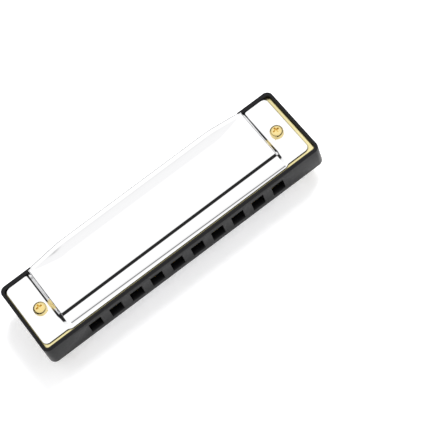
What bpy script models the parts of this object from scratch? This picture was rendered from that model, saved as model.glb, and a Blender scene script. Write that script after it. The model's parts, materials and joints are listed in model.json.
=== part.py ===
"""Ten-hole diatonic harmonica, modelled piece by piece.

X runs along the length with hole 1 at -X, the mouth holes face -Y, and Z is up.
The origin is under the middle of the instrument, at the height of the lowest point of
the lower cover. Every size is in metres.
"""

import math

import bmesh
import bpy
from mathutils import Matrix, Vector

MM = 0.001

# Comb: a moulded slab with a recess on both faces and one chamber for each hole
COMB_LENGTH = 101.3 * MM
COMB_WIDTH = 26.8 * MM
COMB_CORNER_RADIUS = 2.1 * MM
COMB_EDGE_ROUNDING = 0.3 * MM
WEB_HEIGHT = 4.8 * MM
RIM_WIDTH = 1.3 * MM
END_RIM_WIDTH = 0.9 * MM
RIM_STAND = 0.78 * MM
HOLE_COUNT = 10
HOLE_ROW_INSET = 16.9 * MM
HOLE_SHIFT = 0.2 * MM
HOLE_WIDTH = 4.3 * MM
HOLE_LIP = 0.05 * MM
FRONT_LAND = 1.0 * MM

# Reed plates: flat brass plates that lie in the recesses
PLATE_THICKNESS = 0.9 * MM
PLATE_EDGE_GAP = 0.15 * MM
SEAT_GAP = 0.02 * MM

# Reeds: a riveted pad and a long tongue over a slot, shorter from hole to hole
REED_THICKNESS = 0.25 * MM
TONGUE_WIDTH = 2.0 * MM
PAD_WIDTH = 2.9 * MM
PAD_LENGTH = 3.0 * MM
PAD_CORNER_RADIUS = 0.6 * MM
REED_STANDOFF = 0.15 * MM
SHORTEST_BLOW_TONGUE = 8.5 * MM
SHORTEST_DRAW_TONGUE = 7.6 * MM
SLOT_SIDE_GAP = 0.2 * MM
SLOT_END_GAP = 0.3 * MM
BLOW_RIVET_SETBACK = 2.2 * MM
DRAW_RIVET_INSET = 4.25 * MM
CHAMBER_END_GAP = 1.2 * MM
CHAMBER_BACK_LAND = 3.8 * MM

# Rivets that hold the reeds, and pins that hold the plates to the comb
RIVET_RADIUS = 0.5 * MM
RIVET_HEAD_RADIUS = 0.85 * MM
RIVET_HEAD_HEIGHT = 0.35 * MM
RIVET_HEAD_CHAMFER = 0.2 * MM
RIVET_HEAD_GAP = 0.08 * MM
RIVET_FIT = 0.03 * MM
PAD_HOLE_GAP = 0.12 * MM
PIN_RADIUS = 0.5 * MM
PIN_HEAD_RADIUS = 0.95 * MM
PIN_HEAD_HEIGHT = 0.3 * MM
PIN_EDGE_HEIGHT = 0.12 * MM
PIN_DEPTH = 1.6 * MM
PIN_POINT_RADIUS = 0.2 * MM
PIN_POINT_LENGTH = 0.5 * MM
PIN_FIT = 0.03 * MM
FRONT_PIN_INSET = 4.4 * MM
BACK_PIN_INSET = 2.2 * MM
PIN_TINE = 1

# Covers: one folded sheet each, seen in section from the front flange to the rear lip
SHEET_THICKNESS = 0.4 * MM
FLANGE_GAP = 0.5 * MM
FLANGE_DEPTH = 1.15 * MM
FRONT_PANEL_DEPTH = 3.3 * MM
FRONT_PANEL_RISE = 1.25 * MM
STEP_DEPTH = 0.6 * MM
STEP_RISE = 1.0 * MM
STEP_FOOT_RADIUS = 0.6 * MM
STEP_TOP_RADIUS = 0.6 * MM
PANEL_RISE = 1.2 * MM
CREST_RISE = 2.3 * MM
CREST_DEPTH = 1.2 * MM
RAMP_DEPTH = 4.6 * MM
FOLD_RADIUS = 0.5 * MM
REAR_GAP = 0.25 * MM
LIP_HEIGHT = 2.85 * MM
LIP_END_HEIGHT = 0.1 * MM

# Covers: their ends, from the slanting end walls to the flat wings. They sit a little towards hole 1
COVER_SHIFT = -0.45 * MM
END_LAND = 9.95 * MM
END_WALL_SLANT = 1.15 * MM
END_WALL_TOP_RADIUS = 0.55 * MM
END_WALL_FOOT_RADIUS = 0.85 * MM
WING_FRONT_GAP = 1.2 * MM
WING_BACK_GAP = 0.12 * MM
LEFT_WING_GAP = 0.5 * MM
RIGHT_WING_GAP = 1.5 * MM
WING_CORNER_RADIUS = 1.6 * MM
CREST_END = 11.5 * MM
CREST_END_BLEND = 2.0 * MM
OPENING_END_INNER = 12.0 * MM
OPENING_END_OUTER = 7.0 * MM
LIP_SLIT = 0.5 * MM

# Cover screws and their square nuts
SCREW_INSET = 6.65 * MM
SCREW_RADIUS = 1.0 * MM
SCREW_HEAD_RADIUS = 2.1 * MM
SCREW_HEAD_HEIGHT = 1.5 * MM
SCREW_HEAD_EDGE = 0.6 * MM
SCREW_TIP_LENGTH = 0.5 * MM
SCREW_TIP_RADIUS = 0.55 * MM
SCREW_TIP_CHAMFER = 0.3 * MM
SCREW_COMB_GAP = 0.15 * MM
SCREW_COVER_GAP = 0.25 * MM
RECESS_LENGTH = 2.3 * MM
RECESS_WIDTH = 0.55 * MM
RECESS_DEPTH = 0.8 * MM
RECESS_FLOOR_SHARE = 0.55
NUT_SIDE = 4.3 * MM
NUT_HEIGHT = 1.5 * MM
NUT_CHAMFER = 0.35 * MM
NUT_FIT = 0.06 * MM

# How round the round pieces are
CORNER_STEPS = 6
WING_CORNER_STEPS = 4
SMALL_SIDES = 10
SHANK_SIDES = 12
HEAD_SIDES = 24
DOME_STEPS = 3
BEND_STEPS = 3
STEP_BEND_STEPS = 2
RAMP_STEPS = 4
END_COLUMNS = 10
SMOOTH_ANGLE = math.radians(32)

# Levels and lines that follow from the sizes above
HOLE_PITCH = (COMB_LENGTH - 2 * HOLE_ROW_INSET) / (HOLE_COUNT - 1)
RECESS_DEPTH_IN_COMB = SEAT_GAP + PLATE_THICKNESS + RIM_STAND
COMB_THICKNESS = WEB_HEIGHT + 2 * RECESS_DEPTH_IN_COMB
FOLD_HEIGHT = SHEET_THICKNESS + FRONT_PANEL_RISE + STEP_RISE + PANEL_RISE
CREST_HEIGHT = FOLD_HEIGHT + CREST_RISE
COVER_SEAT = WEB_HEIGHT / 2 + SEAT_GAP + PLATE_THICKNESS + SEAT_GAP
MID_Z = COVER_SEAT + CREST_HEIGHT
FRONT_Y = -COMB_WIDTH / 2
BACK_Y = COMB_WIDTH / 2
CHAMBER_START_Y = FRONT_Y + RIM_WIDTH + FRONT_LAND
CHAMBER_BACK_Y = BACK_Y - RIM_WIDTH - CHAMBER_BACK_LAND
CREASE_Y = FRONT_Y + RIM_WIDTH + FLANGE_GAP + FLANGE_DEPTH
STEP_FOOT_Y = CREASE_Y + FRONT_PANEL_DEPTH
STEP_TOP_Y = STEP_FOOT_Y + STEP_DEPTH
FOLD_Y = BACK_Y - RIM_WIDTH - REAR_GAP
CREST_Y = FOLD_Y - FOLD_RADIUS - CREST_DEPTH
FOOT_X = COMB_LENGTH / 2 - END_LAND
BODY_X = FOOT_X - END_WALL_SLANT
SCREW_X = COMB_LENGTH / 2 - SCREW_INSET
PAD_REACH = PAD_LENGTH / 2
BLOW_RIVET_Y = CHAMBER_START_Y + BLOW_RIVET_SETBACK
LONGEST_BLOW_TONGUE = CHAMBER_BACK_Y - CHAMBER_END_GAP - PAD_REACH - BLOW_RIVET_Y
DRAW_TIP_Y = STEP_TOP_Y + SLOT_END_GAP
LONGEST_DRAW_TONGUE = BACK_Y - RIM_WIDTH - DRAW_RIVET_INSET - PAD_REACH - DRAW_TIP_Y


def hole_x(index):
    """Middle of a hole, counted from 0 at the low end."""
    return HOLE_SHIFT + (index - (HOLE_COUNT - 1) / 2) * HOLE_PITCH


def graded(longest, shortest, index):
    """Length that falls evenly from the first hole to the last."""
    return longest + (shortest - longest) * index / (HOLE_COUNT - 1)


def blow_tip_y(index):
    """Tip of a blow reed, which is riveted behind the mouth hole."""
    return BLOW_RIVET_Y + PAD_REACH + graded(LONGEST_BLOW_TONGUE, SHORTEST_BLOW_TONGUE, index)


def draw_rivet_y(index):
    """Rivet of a draw reed, which points from the back towards the mouth."""
    return DRAW_TIP_Y + graded(LONGEST_DRAW_TONGUE, SHORTEST_DRAW_TONGUE, index) + PAD_REACH


def chamber_end_y(index):
    """Back end of a chamber, a little beyond the reed tip above it."""
    return blow_tip_y(index) + CHAMBER_END_GAP


def clear_scene():
    """Empty the scene of whatever it held."""
    for item in list(bpy.data.objects):
        bpy.data.objects.remove(item, do_unlink=True)


def material(name, colour, roughness, metallic):
    """Principled material with a linear colour."""
    made = bpy.data.materials.new(name)
    made.use_nodes = True
    made.diffuse_color = (*colour, 1.0)
    shader = made.node_tree.nodes["Principled BSDF"]
    shader.inputs["Base Color"].default_value = (*colour, 1.0)
    shader.inputs["Roughness"].default_value = roughness
    shader.inputs["Metallic"].default_value = metallic
    return made


def add_object(name, shape, finish, origin=(0.0, 0.0, 0.0)):
    """Object from a bmesh in world coordinates, with its origin moved to a chosen point."""
    bmesh.ops.recalc_face_normals(shape, faces=shape.faces)
    shape.transform(Matrix.Translation(-Vector(origin)))
    mesh = bpy.data.meshes.new(name)
    shape.to_mesh(mesh)
    shape.free()
    mesh.shade_smooth()
    mesh.set_sharp_from_angle(angle=SMOOTH_ANGLE)
    mesh.materials.append(finish)
    made = bpy.data.objects.new(name, mesh)
    made.location = origin
    bpy.context.scene.collection.objects.link(made)
    return made


def cut(target, name, shape):
    """Boolean difference of a target and a helper shape given in world coordinates."""
    bmesh.ops.recalc_face_normals(shape, faces=shape.faces)
    mesh = bpy.data.meshes.new(name)
    shape.to_mesh(mesh)
    shape.free()
    cutter = bpy.data.objects.new(name, mesh)
    cutter.hide_render = True
    cutter.display_type = "WIRE"
    bpy.context.scene.collection.objects.link(cutter)
    difference = target.modifiers.new(name, "BOOLEAN")
    difference.operation = "DIFFERENCE"
    difference.solver = "EXACT"
    difference.object = cutter


def add_prism(shape, outline, low_z, high_z):
    """Closed prism on an outline of (x, y) points."""
    low = [shape.verts.new((x, y, low_z)) for x, y in outline]
    high = [shape.verts.new((x, y, high_z)) for x, y in outline]
    shape.faces.new(low[::-1])
    shape.faces.new(high)
    count = len(outline)
    for i in range(count):
        j = (i + 1) % count
        shape.faces.new((low[i], low[j], high[j], high[i]))


def add_turned(shape, profile, sides, centre=(0.0, 0.0)):
    """Closed turned solid from (radius, z) points that start and end on the axis."""
    rings = []
    for radius, z in profile[1:-1]:
        angles = [2 * math.pi * k / sides for k in range(sides)]
        rings.append([
            shape.verts.new((centre[0] + radius * math.cos(a), centre[1] + radius * math.sin(a), z))
            for a in angles
        ])
    first = shape.verts.new((centre[0], centre[1], profile[0][1]))
    last = shape.verts.new((centre[0], centre[1], profile[-1][1]))
    for k in range(sides):
        n = (k + 1) % sides
        shape.faces.new((first, rings[0][n], rings[0][k]))
        shape.faces.new((last, rings[-1][k], rings[-1][n]))
        for lower, upper in zip(rings, rings[1:]):
            shape.faces.new((lower[k], lower[n], upper[n], upper[k]))


def dome(radius, low_z, high_z):
    """Quarter of an ellipse, as (radius, z) points from a round head's edge to its top."""
    points = []
    for k in range(DOME_STEPS + 1):
        angle = 0.5 * math.pi * k / DOME_STEPS
        points.append((radius * math.cos(angle), low_z + (high_z - low_z) * math.sin(angle)))
    return points


def add_cylinder(shape, radius, low_z, high_z, sides, centre):
    """Closed cylinder standing on Z."""
    profile = [(0.0, low_z), (radius, low_z), (radius, high_z), (0.0, high_z)]
    add_turned(shape, profile, sides, centre)


def rounded_rectangle(length, width, radius, steps=CORNER_STEPS):
    """Outline of a rectangle round the origin with four arcs for corners."""
    points = []
    corners = ((1, 1, 0.0), (-1, 1, 0.5), (-1, -1, 1.0), (1, -1, 1.5))
    for side_x, side_y, turn in corners:
        for k in range(steps + 1):
            angle = math.pi * (turn + 0.5 * k / steps)
            points.append((
                side_x * (length / 2 - radius) + radius * math.cos(angle),
                side_y * (width / 2 - radius) + radius * math.sin(angle),
            ))
    return points


def rectangle(low_x, low_y, high_x, high_y):
    """Outline of a plain rectangle."""
    return [(low_x, low_y), (high_x, low_y), (high_x, high_y), (low_x, high_y)]


def filleted(corners, radii, steps):
    """Line through the corners, with an arc of its own radius at each inner corner."""
    points = [corners[0]]
    for before, corner, after, radius in zip(corners, corners[1:], corners[2:], radii):
        corner = Vector(corner)
        back = Vector(before) - corner
        ahead = Vector(after) - corner
        half = back.angle(ahead) / 2
        reach = min(radius / math.tan(half), 0.45 * min(back.length, ahead.length))
        start = corner + reach * back.normalized()
        middle = corner + reach / math.cos(half) * (back.normalized() + ahead.normalized()).normalized()
        turn = (math.pi - 2 * half) * (1 if back.cross(ahead) < 0 else -1)
        for k in range(steps + 1):
            points.append(tuple(middle + Matrix.Rotation(turn * k / steps, 2) @ (start - middle)))
    points.append(corners[-1])
    return points


def pin_places():
    """The four places where pins hold a reed plate: each between the first two holes from one end."""
    left = (hole_x(PIN_TINE - 1) + hole_x(PIN_TINE)) / 2
    right = (hole_x(HOLE_COUNT - PIN_TINE - 1) + hole_x(HOLE_COUNT - PIN_TINE)) / 2
    front = FRONT_Y + RIM_WIDTH + FRONT_PIN_INSET
    back = BACK_Y - RIM_WIDTH - BACK_PIN_INSET
    return [(left, front), (right, front), (left, back), (right, back)]


def build_comb(finish):
    """Comb with its two recesses, its chambers and the holes for screws and pins."""
    half = COMB_THICKNESS / 2
    body = bmesh.new()
    outline = rounded_rectangle(COMB_LENGTH, COMB_WIDTH, COMB_CORNER_RADIUS)
    add_prism(body, outline, MID_Z - half, MID_Z + half)
    body.edges.ensure_lookup_table()
    rims = [e for e in body.edges if abs(e.verts[0].co.z - e.verts[1].co.z) < half / 2]
    bmesh.ops.bevel(body, geom=rims, offset=COMB_EDGE_ROUNDING, segments=2, affect="EDGES", profile=0.5)
    comb = add_object("comb", body, finish)

    recesses = bmesh.new()
    inner = rounded_rectangle(
        COMB_LENGTH - 2 * END_RIM_WIDTH,
        COMB_WIDTH - 2 * RIM_WIDTH,
        max(COMB_CORNER_RADIUS - END_RIM_WIDTH, PLATE_EDGE_GAP),
    )
    beyond = half + RIM_WIDTH
    add_prism(recesses, inner, MID_Z + WEB_HEIGHT / 2, MID_Z + beyond)
    add_prism(recesses, inner, MID_Z - beyond, MID_Z - WEB_HEIGHT / 2)
    cut(comb, "recess_cutter", recesses)

    hollows = bmesh.new()
    for index in range(HOLE_COUNT):
        add_chamber(hollows, index)
    for side in (-1, 1):
        radius = SCREW_RADIUS + SCREW_COMB_GAP
        add_cylinder(hollows, radius, MID_Z - beyond, MID_Z + beyond, SHANK_SIDES, (side * SCREW_X, 0.0))
    for place in pin_places():
        add_pin_socket(hollows, place, 1)
        add_pin_socket(hollows, place, -1)
    cut(comb, "hollow_cutter", hollows)
    return comb


def add_chamber(shape, index):
    """Mouth hole and the taller chamber behind it, as one prism that runs along X."""
    mouth = WEB_HEIGHT / 2 - HOLE_LIP
    tall = WEB_HEIGHT / 2 + PLATE_THICKNESS / 2
    start = CHAMBER_START_Y
    end = chamber_end_y(index)
    outside = FRONT_Y - RIM_WIDTH
    section = [
        (outside, -mouth), (start, -mouth), (start, -tall), (end, -tall),
        (end, tall), (start, tall), (start, mouth), (outside, mouth),
    ]
    left = [shape.verts.new((hole_x(index) - HOLE_WIDTH / 2, y, MID_Z + z)) for y, z in section]
    right = [shape.verts.new((hole_x(index) + HOLE_WIDTH / 2, y, MID_Z + z)) for y, z in section]
    shape.faces.new(left)
    shape.faces.new(right[::-1])
    count = len(section)
    for i in range(count):
        j = (i + 1) % count
        shape.faces.new((left[i], left[j], right[j], right[i]))


def add_pin_socket(shape, place, side):
    """Blind hole in the comb for one plate pin, above or below the web."""
    floor = MID_Z + side * (WEB_HEIGHT / 2 - PIN_DEPTH - SEAT_GAP)
    mouth = MID_Z + side * (WEB_HEIGHT / 2 + PLATE_THICKNESS / 2)
    add_cylinder(shape, PIN_RADIUS + PIN_FIT, min(floor, mouth), max(floor, mouth), SMALL_SIDES, place)


def build_plate(name, side, finish):
    """Reed plate with a slot under each tongue and holes for rivets, pins and screws."""
    inner = MID_Z + side * (WEB_HEIGHT / 2 + SEAT_GAP)
    outer = inner + side * PLATE_THICKNESS
    body = bmesh.new()
    outline = rounded_rectangle(
        COMB_LENGTH - 2 * (END_RIM_WIDTH + PLATE_EDGE_GAP),
        COMB_WIDTH - 2 * (RIM_WIDTH + PLATE_EDGE_GAP),
        max(COMB_CORNER_RADIUS - END_RIM_WIDTH - PLATE_EDGE_GAP, PLATE_EDGE_GAP),
        WING_CORNER_STEPS,
    )
    add_prism(body, outline, min(inner, outer), max(inner, outer))
    plate = add_object(name, body, finish)

    low = min(inner, outer) - PLATE_THICKNESS
    high = max(inner, outer) + PLATE_THICKNESS
    openings = bmesh.new()
    for index in range(HOLE_COUNT):
        x = hole_x(index)
        half = TONGUE_WIDTH / 2 + SLOT_SIDE_GAP
        if side > 0:
            start = BLOW_RIVET_Y + PAD_REACH + SLOT_END_GAP
            end = blow_tip_y(index) + SLOT_END_GAP
            rivet_y = BLOW_RIVET_Y
        else:
            start = DRAW_TIP_Y - SLOT_END_GAP
            end = draw_rivet_y(index) - PAD_REACH - SLOT_END_GAP
            rivet_y = draw_rivet_y(index)
        add_prism(openings, rectangle(x - half, start, x + half, end), low, high)
        add_cylinder(openings, RIVET_RADIUS + RIVET_FIT, low, high, SMALL_SIDES, (x, rivet_y))
    for place in pin_places():
        add_cylinder(openings, PIN_RADIUS + PIN_FIT, low, high, SMALL_SIDES, place)
    for end in (-1, 1):
        add_cylinder(openings, SCREW_RADIUS + SCREW_COVER_GAP, low, high, SHANK_SIDES, (end * SCREW_X, 0.0))
    cut(plate, name + "_cutter", openings)
    return plate


def reed_outline(tongue_length):
    """Pad with rounded far corners and a straight tongue that points along +Y from the rivet."""
    points = []
    for side, turn in ((-1, 1.0), (1, 1.5)):
        for k in range(3):
            angle = math.pi * (turn + 0.25 * k)
            points.append((
                side * (PAD_WIDTH / 2 - PAD_CORNER_RADIUS) + PAD_CORNER_RADIUS * math.cos(angle),
                PAD_CORNER_RADIUS - PAD_REACH + PAD_CORNER_RADIUS * math.sin(angle),
            ))
    points.append((PAD_WIDTH / 2, PAD_REACH))
    points.append((TONGUE_WIDTH / 2, PAD_REACH))
    points.append((TONGUE_WIDTH / 2, PAD_REACH + tongue_length))
    points.append((-TONGUE_WIDTH / 2, PAD_REACH + tongue_length))
    points.append((-TONGUE_WIDTH / 2, PAD_REACH))
    points.append((-PAD_WIDTH / 2, PAD_REACH))
    return points


def build_reed(name, x, rivet_y, face_z, direction, tongue_length, finish):
    """Reed that lies just under a plate's face; its origin is on the line that it bends about."""
    top = face_z - REED_STANDOFF
    bottom = top - REED_THICKNESS
    body = bmesh.new()
    outline = [(x + direction * px, rivet_y + direction * py) for px, py in reed_outline(tongue_length)]
    add_prism(body, outline, bottom, top)
    reed = add_object(name, body, finish, origin=(x, rivet_y, (top + bottom) / 2))
    hole = bmesh.new()
    radius = RIVET_RADIUS + PAD_HOLE_GAP
    add_cylinder(hole, radius, bottom - REED_THICKNESS, top + REED_THICKNESS, SMALL_SIDES, (x, rivet_y))
    cut(reed, name + "_cutter", hole)
    return reed


def build_rivet(name, x, rivet_y, face_z, finish):
    """Rivet with its head under the reed's pad and its tail flush in the plate."""
    head_top = face_z - REED_STANDOFF - REED_THICKNESS - RIVET_HEAD_GAP
    head_bottom = head_top - RIVET_HEAD_HEIGHT
    tail = face_z + PLATE_THICKNESS - SEAT_GAP
    body = bmesh.new()
    profile = [
        (0.0, head_bottom),
        (RIVET_HEAD_RADIUS - RIVET_HEAD_CHAMFER, head_bottom),
        (RIVET_HEAD_RADIUS, head_bottom + RIVET_HEAD_CHAMFER),
        (RIVET_HEAD_RADIUS, head_top),
        (RIVET_RADIUS, head_top),
        (RIVET_RADIUS, tail),
        (0.0, tail),
    ]
    add_turned(body, profile, SMALL_SIDES, (x, rivet_y))
    return add_object(name, body, finish)


def build_reeds(reed_finish, rivet_finish):
    """Blow reeds under the upper plate, draw reeds under the lower plate, each with its rivet."""
    blow_face = MID_Z + WEB_HEIGHT / 2 + SEAT_GAP
    draw_face = MID_Z - WEB_HEIGHT / 2 - SEAT_GAP - PLATE_THICKNESS
    for index in range(HOLE_COUNT):
        x = hole_x(index)
        number = f"{index + 1:02d}"
        blow_length = graded(LONGEST_BLOW_TONGUE, SHORTEST_BLOW_TONGUE, index)
        build_reed("blow_reed_" + number, x, BLOW_RIVET_Y, blow_face, 1, blow_length, reed_finish)
        build_rivet("blow_rivet_" + number, x, BLOW_RIVET_Y, blow_face, rivet_finish)
        draw_length = graded(LONGEST_DRAW_TONGUE, SHORTEST_DRAW_TONGUE, index)
        rivet_y = draw_rivet_y(index)
        build_reed("draw_reed_" + number, x, rivet_y, draw_face, -1, draw_length, reed_finish)
        build_rivet("draw_rivet_" + number, x, rivet_y, draw_face, rivet_finish)


def build_pins(finish):
    """Round-headed pins that hold each plate down on the comb."""
    for side, plate in ((1, "upper"), (-1, "lower")):
        seat = MID_Z + side * (WEB_HEIGHT / 2 + SEAT_GAP + PLATE_THICKNESS + SEAT_GAP)
        tip = MID_Z + side * (WEB_HEIGHT / 2 - PIN_DEPTH)
        for number, place in enumerate(pin_places(), start=1):
            body = bmesh.new()
            profile = [
                (0.0, tip),
                (PIN_POINT_RADIUS, tip),
                (PIN_RADIUS, tip + side * PIN_POINT_LENGTH),
                (PIN_RADIUS, seat),
                (PIN_HEAD_RADIUS, seat),
            ]
            profile += dome(PIN_HEAD_RADIUS, seat + side * PIN_EDGE_HEIGHT, seat + side * PIN_HEAD_HEIGHT)
            add_turned(body, profile, SMALL_SIDES, place)
            add_object(f"{plate}_plate_pin_{number}", body, finish)


def ease(low, high, value):
    """Smooth step from 0 at low to 1 at high."""
    t = min(max((value - low) / (high - low), 0.0), 1.0)
    return t * t * (3 - 2 * t)


def panel_height(y):
    """Height of the main panel above the cover's seat, rising evenly to the fold."""
    start = SHEET_THICKNESS + FRONT_PANEL_RISE + STEP_RISE
    return start + PANEL_RISE * (y - STEP_TOP_Y) / (FOLD_Y - STEP_TOP_Y)


def crest_lift(x):
    """Share of the crest's rise at one place: even slopes at the ends, blended into the level middle."""
    reach = BODY_X - abs(x)
    level = CREST_END + CREST_END_BLEND
    if reach < CREST_END - CREST_END_BLEND:
        return reach / CREST_END
    return 1 - max(level - reach, 0.0) ** 2 / (4 * CREST_END * CREST_END_BLEND)


def body_column(x):
    """Section of the cover at one place along its body, as (y, height) points."""
    lifted = crest_lift(x)
    crest = FOLD_HEIGHT + CREST_RISE * lifted
    ramp_y = CREST_Y - RAMP_DEPTH * lifted - FOLD_RADIUS * (1 - lifted)
    foot = SHEET_THICKNESS + FRONT_PANEL_RISE
    step = [
        (CREASE_Y, SHEET_THICKNESS),
        (STEP_FOOT_Y, foot),
        (STEP_TOP_Y, foot + STEP_RISE),
        (ramp_y, panel_height(ramp_y)),
    ]
    points = [(CREASE_Y - FLANGE_DEPTH, SHEET_THICKNESS)]
    points += filleted(step, (STEP_FOOT_RADIUS, STEP_TOP_RADIUS), STEP_BEND_STEPS)
    for k in range(1, RAMP_STEPS + 1):
        t = k / RAMP_STEPS
        y = ramp_y + (CREST_Y - ramp_y) * t
        points.append((y, panel_height(y) + (crest - panel_height(CREST_Y)) * t * t))
    points.append((FOLD_Y - FOLD_RADIUS, crest))
    return points


def lip_column(x):
    """Rear fold and the lip below it at one place along the body, as (y, height) points."""
    crest = FOLD_HEIGHT + CREST_RISE * crest_lift(x)
    drop = ease(BODY_X - OPENING_END_INNER, BODY_X - OPENING_END_OUTER, abs(x))
    bottom = (crest - LIP_HEIGHT) * (1 - drop) + LIP_END_HEIGHT * drop
    points = []
    for k in range(1, BEND_STEPS + 1):
        angle = 0.5 * math.pi * k / BEND_STEPS
        points.append((
            FOLD_Y - FOLD_RADIUS + FOLD_RADIUS * math.sin(angle),
            crest - FOLD_RADIUS + FOLD_RADIUS * math.cos(angle),
        ))
    points.append((FOLD_Y, bottom))
    return points


def wall_places():
    """Places across an end wall, as (distance out from the body, share of the body's height)."""
    tall = FOLD_HEIGHT - SHEET_THICKNESS
    corners = [(-tall, tall), (0.0, tall), (END_WALL_SLANT, 0.0), (END_WALL_SLANT + tall, 0.0)]
    bent = filleted(corners, (END_WALL_TOP_RADIUS, END_WALL_FOOT_RADIUS), BEND_STEPS)[1:-1]
    return [(out, height / tall) for out, height in bent]


def end_columns(side):
    """Sections from the top edge of an end wall out to the tip of its wing."""
    body = body_column(BODY_X)
    first_y = body[0][0]
    deep = body[-1][0] - first_y
    wing_front = FRONT_Y + RIM_WIDTH + WING_FRONT_GAP
    wing_back = BACK_Y - RIM_WIDTH - WING_BACK_GAP
    gap = LEFT_WING_GAP if side < 0 else RIGHT_WING_GAP
    corner_x = COMB_LENGTH / 2 - END_RIM_WIDTH - gap - WING_CORNER_RADIUS
    columns = []
    for out, share in wall_places():
        section = []
        for y, height in body:
            wing_y = wing_front + (wing_back - wing_front) * (y - first_y) / deep
            rise = share * (height - SHEET_THICKNESS)
            section.append((y * share + wing_y * (1 - share), SHEET_THICKNESS + rise))
        columns.append((COVER_SHIFT + side * (BODY_X + out), section))
    for k in range(WING_CORNER_STEPS + 1):
        angle = 0.5 * math.pi * k / WING_CORNER_STEPS
        low = wing_front + WING_CORNER_RADIUS * (1 - math.cos(angle))
        high = wing_back - WING_CORNER_RADIUS * (1 - math.cos(angle))
        section = [(low + (high - low) * (y - first_y) / deep, SHEET_THICKNESS) for y, _ in body]
        columns.append((side * (corner_x + WING_CORNER_RADIUS * math.sin(angle)), section))
    return columns


def lip_places():
    """Places along the body where its section is drawn, from one end of the rear lip to the other."""
    inner = BODY_X - CREST_END - CREST_END_BLEND
    outer = BODY_X + wall_places()[0][0] - LIP_SLIT
    places = [inner + (outer - inner) * k / END_COLUMNS for k in range(END_COLUMNS + 1)]
    return [-x for x in reversed(places)] + [0.0] + places


def build_cover(name, side, finish):
    """Folded cover: its outer surface as a grid of sections, thickened inwards."""
    seat = MID_Z + side * COVER_SEAT
    body_places = lip_places()
    columns = end_columns(-1)[::-1]
    first = len(columns)
    columns += [(COVER_SHIFT + x, body_column(x)) for x in body_places]
    columns += end_columns(1)
    sheet = bmesh.new()
    grid = [
        [sheet.verts.new((x, y, seat + side * height)) for y, height in section]
        for x, section in columns
    ]
    lips = []
    for x, verts in zip(body_places, grid[first:]):
        lip = [sheet.verts.new((COVER_SHIFT + x, y, seat + side * height)) for y, height in lip_column(x)]
        lips.append([verts[-1]] + lip)
    for rows in (grid, lips):
        for left, right in zip(rows, rows[1:]):
            for k in range(len(left) - 1):
                sheet.faces.new((left[k], right[k], right[k + 1], left[k + 1]))
    if side < 0:
        bmesh.ops.reverse_faces(sheet, faces=sheet.faces)
    cover = add_sheet_object(name, sheet, finish)

    holes = bmesh.new()
    radius = SCREW_RADIUS + SCREW_COVER_GAP
    reach = 3 * SHEET_THICKNESS
    for end in (-1, 1):
        add_cylinder(holes, radius, seat - reach, seat + reach, SHANK_SIDES, (end * SCREW_X, 0.0))
    cut(cover, name + "_cutter", holes)
    return cover


def add_sheet_object(name, sheet, finish):
    """Object from an open sheet, given its metal thickness on the inner side."""
    mesh = bpy.data.meshes.new(name)
    sheet.to_mesh(mesh)
    sheet.free()
    mesh.shade_smooth()
    mesh.set_sharp_from_angle(angle=SMOOTH_ANGLE)
    mesh.materials.append(finish)
    made = bpy.data.objects.new(name, mesh)
    bpy.context.scene.collection.objects.link(made)
    thickness = made.modifiers.new("sheet thickness", "SOLIDIFY")
    thickness.thickness = SHEET_THICKNESS
    thickness.offset = -1.0
    thickness.use_even_offset = True
    return made


def build_screw(name, x, finish):
    """Pan-head screw with a cross recess, long enough to pass through the nut below."""
    seat = MID_Z + COVER_SEAT + SHEET_THICKNESS + SEAT_GAP
    nut_low = MID_Z - COVER_SEAT - SHEET_THICKNESS - SEAT_GAP - NUT_HEIGHT
    tip = nut_low - SCREW_TIP_LENGTH
    body = bmesh.new()
    profile = [
        (0.0, tip),
        (SCREW_TIP_RADIUS, tip),
        (SCREW_RADIUS, tip + SCREW_TIP_CHAMFER),
        (SCREW_RADIUS, seat),
        (SCREW_HEAD_RADIUS, seat),
    ]
    profile += dome(SCREW_HEAD_RADIUS, seat + SCREW_HEAD_EDGE, seat + SCREW_HEAD_HEIGHT)
    add_turned(body, profile, HEAD_SIDES, (x, 0.0))
    screw = add_object(name, body, finish, origin=(x, 0.0, seat))
    cross = bmesh.new()
    long_half = RECESS_LENGTH / 2
    short_half = RECESS_WIDTH / 2
    plan = [
        (short_half, long_half), (-short_half, long_half), (-short_half, short_half),
        (-long_half, short_half), (-long_half, -short_half), (-short_half, -short_half),
        (-short_half, -long_half), (short_half, -long_half), (short_half, -short_half),
        (long_half, -short_half), (long_half, short_half), (short_half, short_half),
    ]
    top = seat + SCREW_HEAD_HEIGHT
    floor = top - RECESS_DEPTH
    add_prism(cross, [(x + px, py) for px, py in plan], floor, top + RECESS_DEPTH)
    for vertex in cross.verts:
        if vertex.co.z < top:
            vertex.co.x = x + RECESS_FLOOR_SHARE * (vertex.co.x - x)
            vertex.co.y = RECESS_FLOOR_SHARE * vertex.co.y
    cut(screw, name + "_cutter", cross)
    return screw


def build_nut(name, x, finish):
    """Square nut with chamfered corners, under the lower cover's wing."""
    top = MID_Z - COVER_SEAT - SHEET_THICKNESS - SEAT_GAP
    half = NUT_SIDE / 2
    body = bmesh.new()
    add_prism(body, rectangle(x - half, -half, x + half, half), top - NUT_HEIGHT, top)
    lower = [e for e in body.edges if max(v.co.z for v in e.verts) < top - NUT_HEIGHT / 2]
    corners = [e for e in body.edges if abs(e.verts[0].co.z - e.verts[1].co.z) > NUT_HEIGHT / 2]
    bmesh.ops.bevel(body, geom=lower + corners, offset=NUT_CHAMFER, segments=1, affect="EDGES", profile=0.5)
    nut = add_object(name, body, finish)
    hole = bmesh.new()
    radius = SCREW_RADIUS + NUT_FIT
    add_cylinder(hole, radius, top - 2 * NUT_HEIGHT, top + NUT_HEIGHT, HEAD_SIDES, (x, 0.0))
    cut(nut, name + "_cutter", hole)
    return nut


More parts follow.
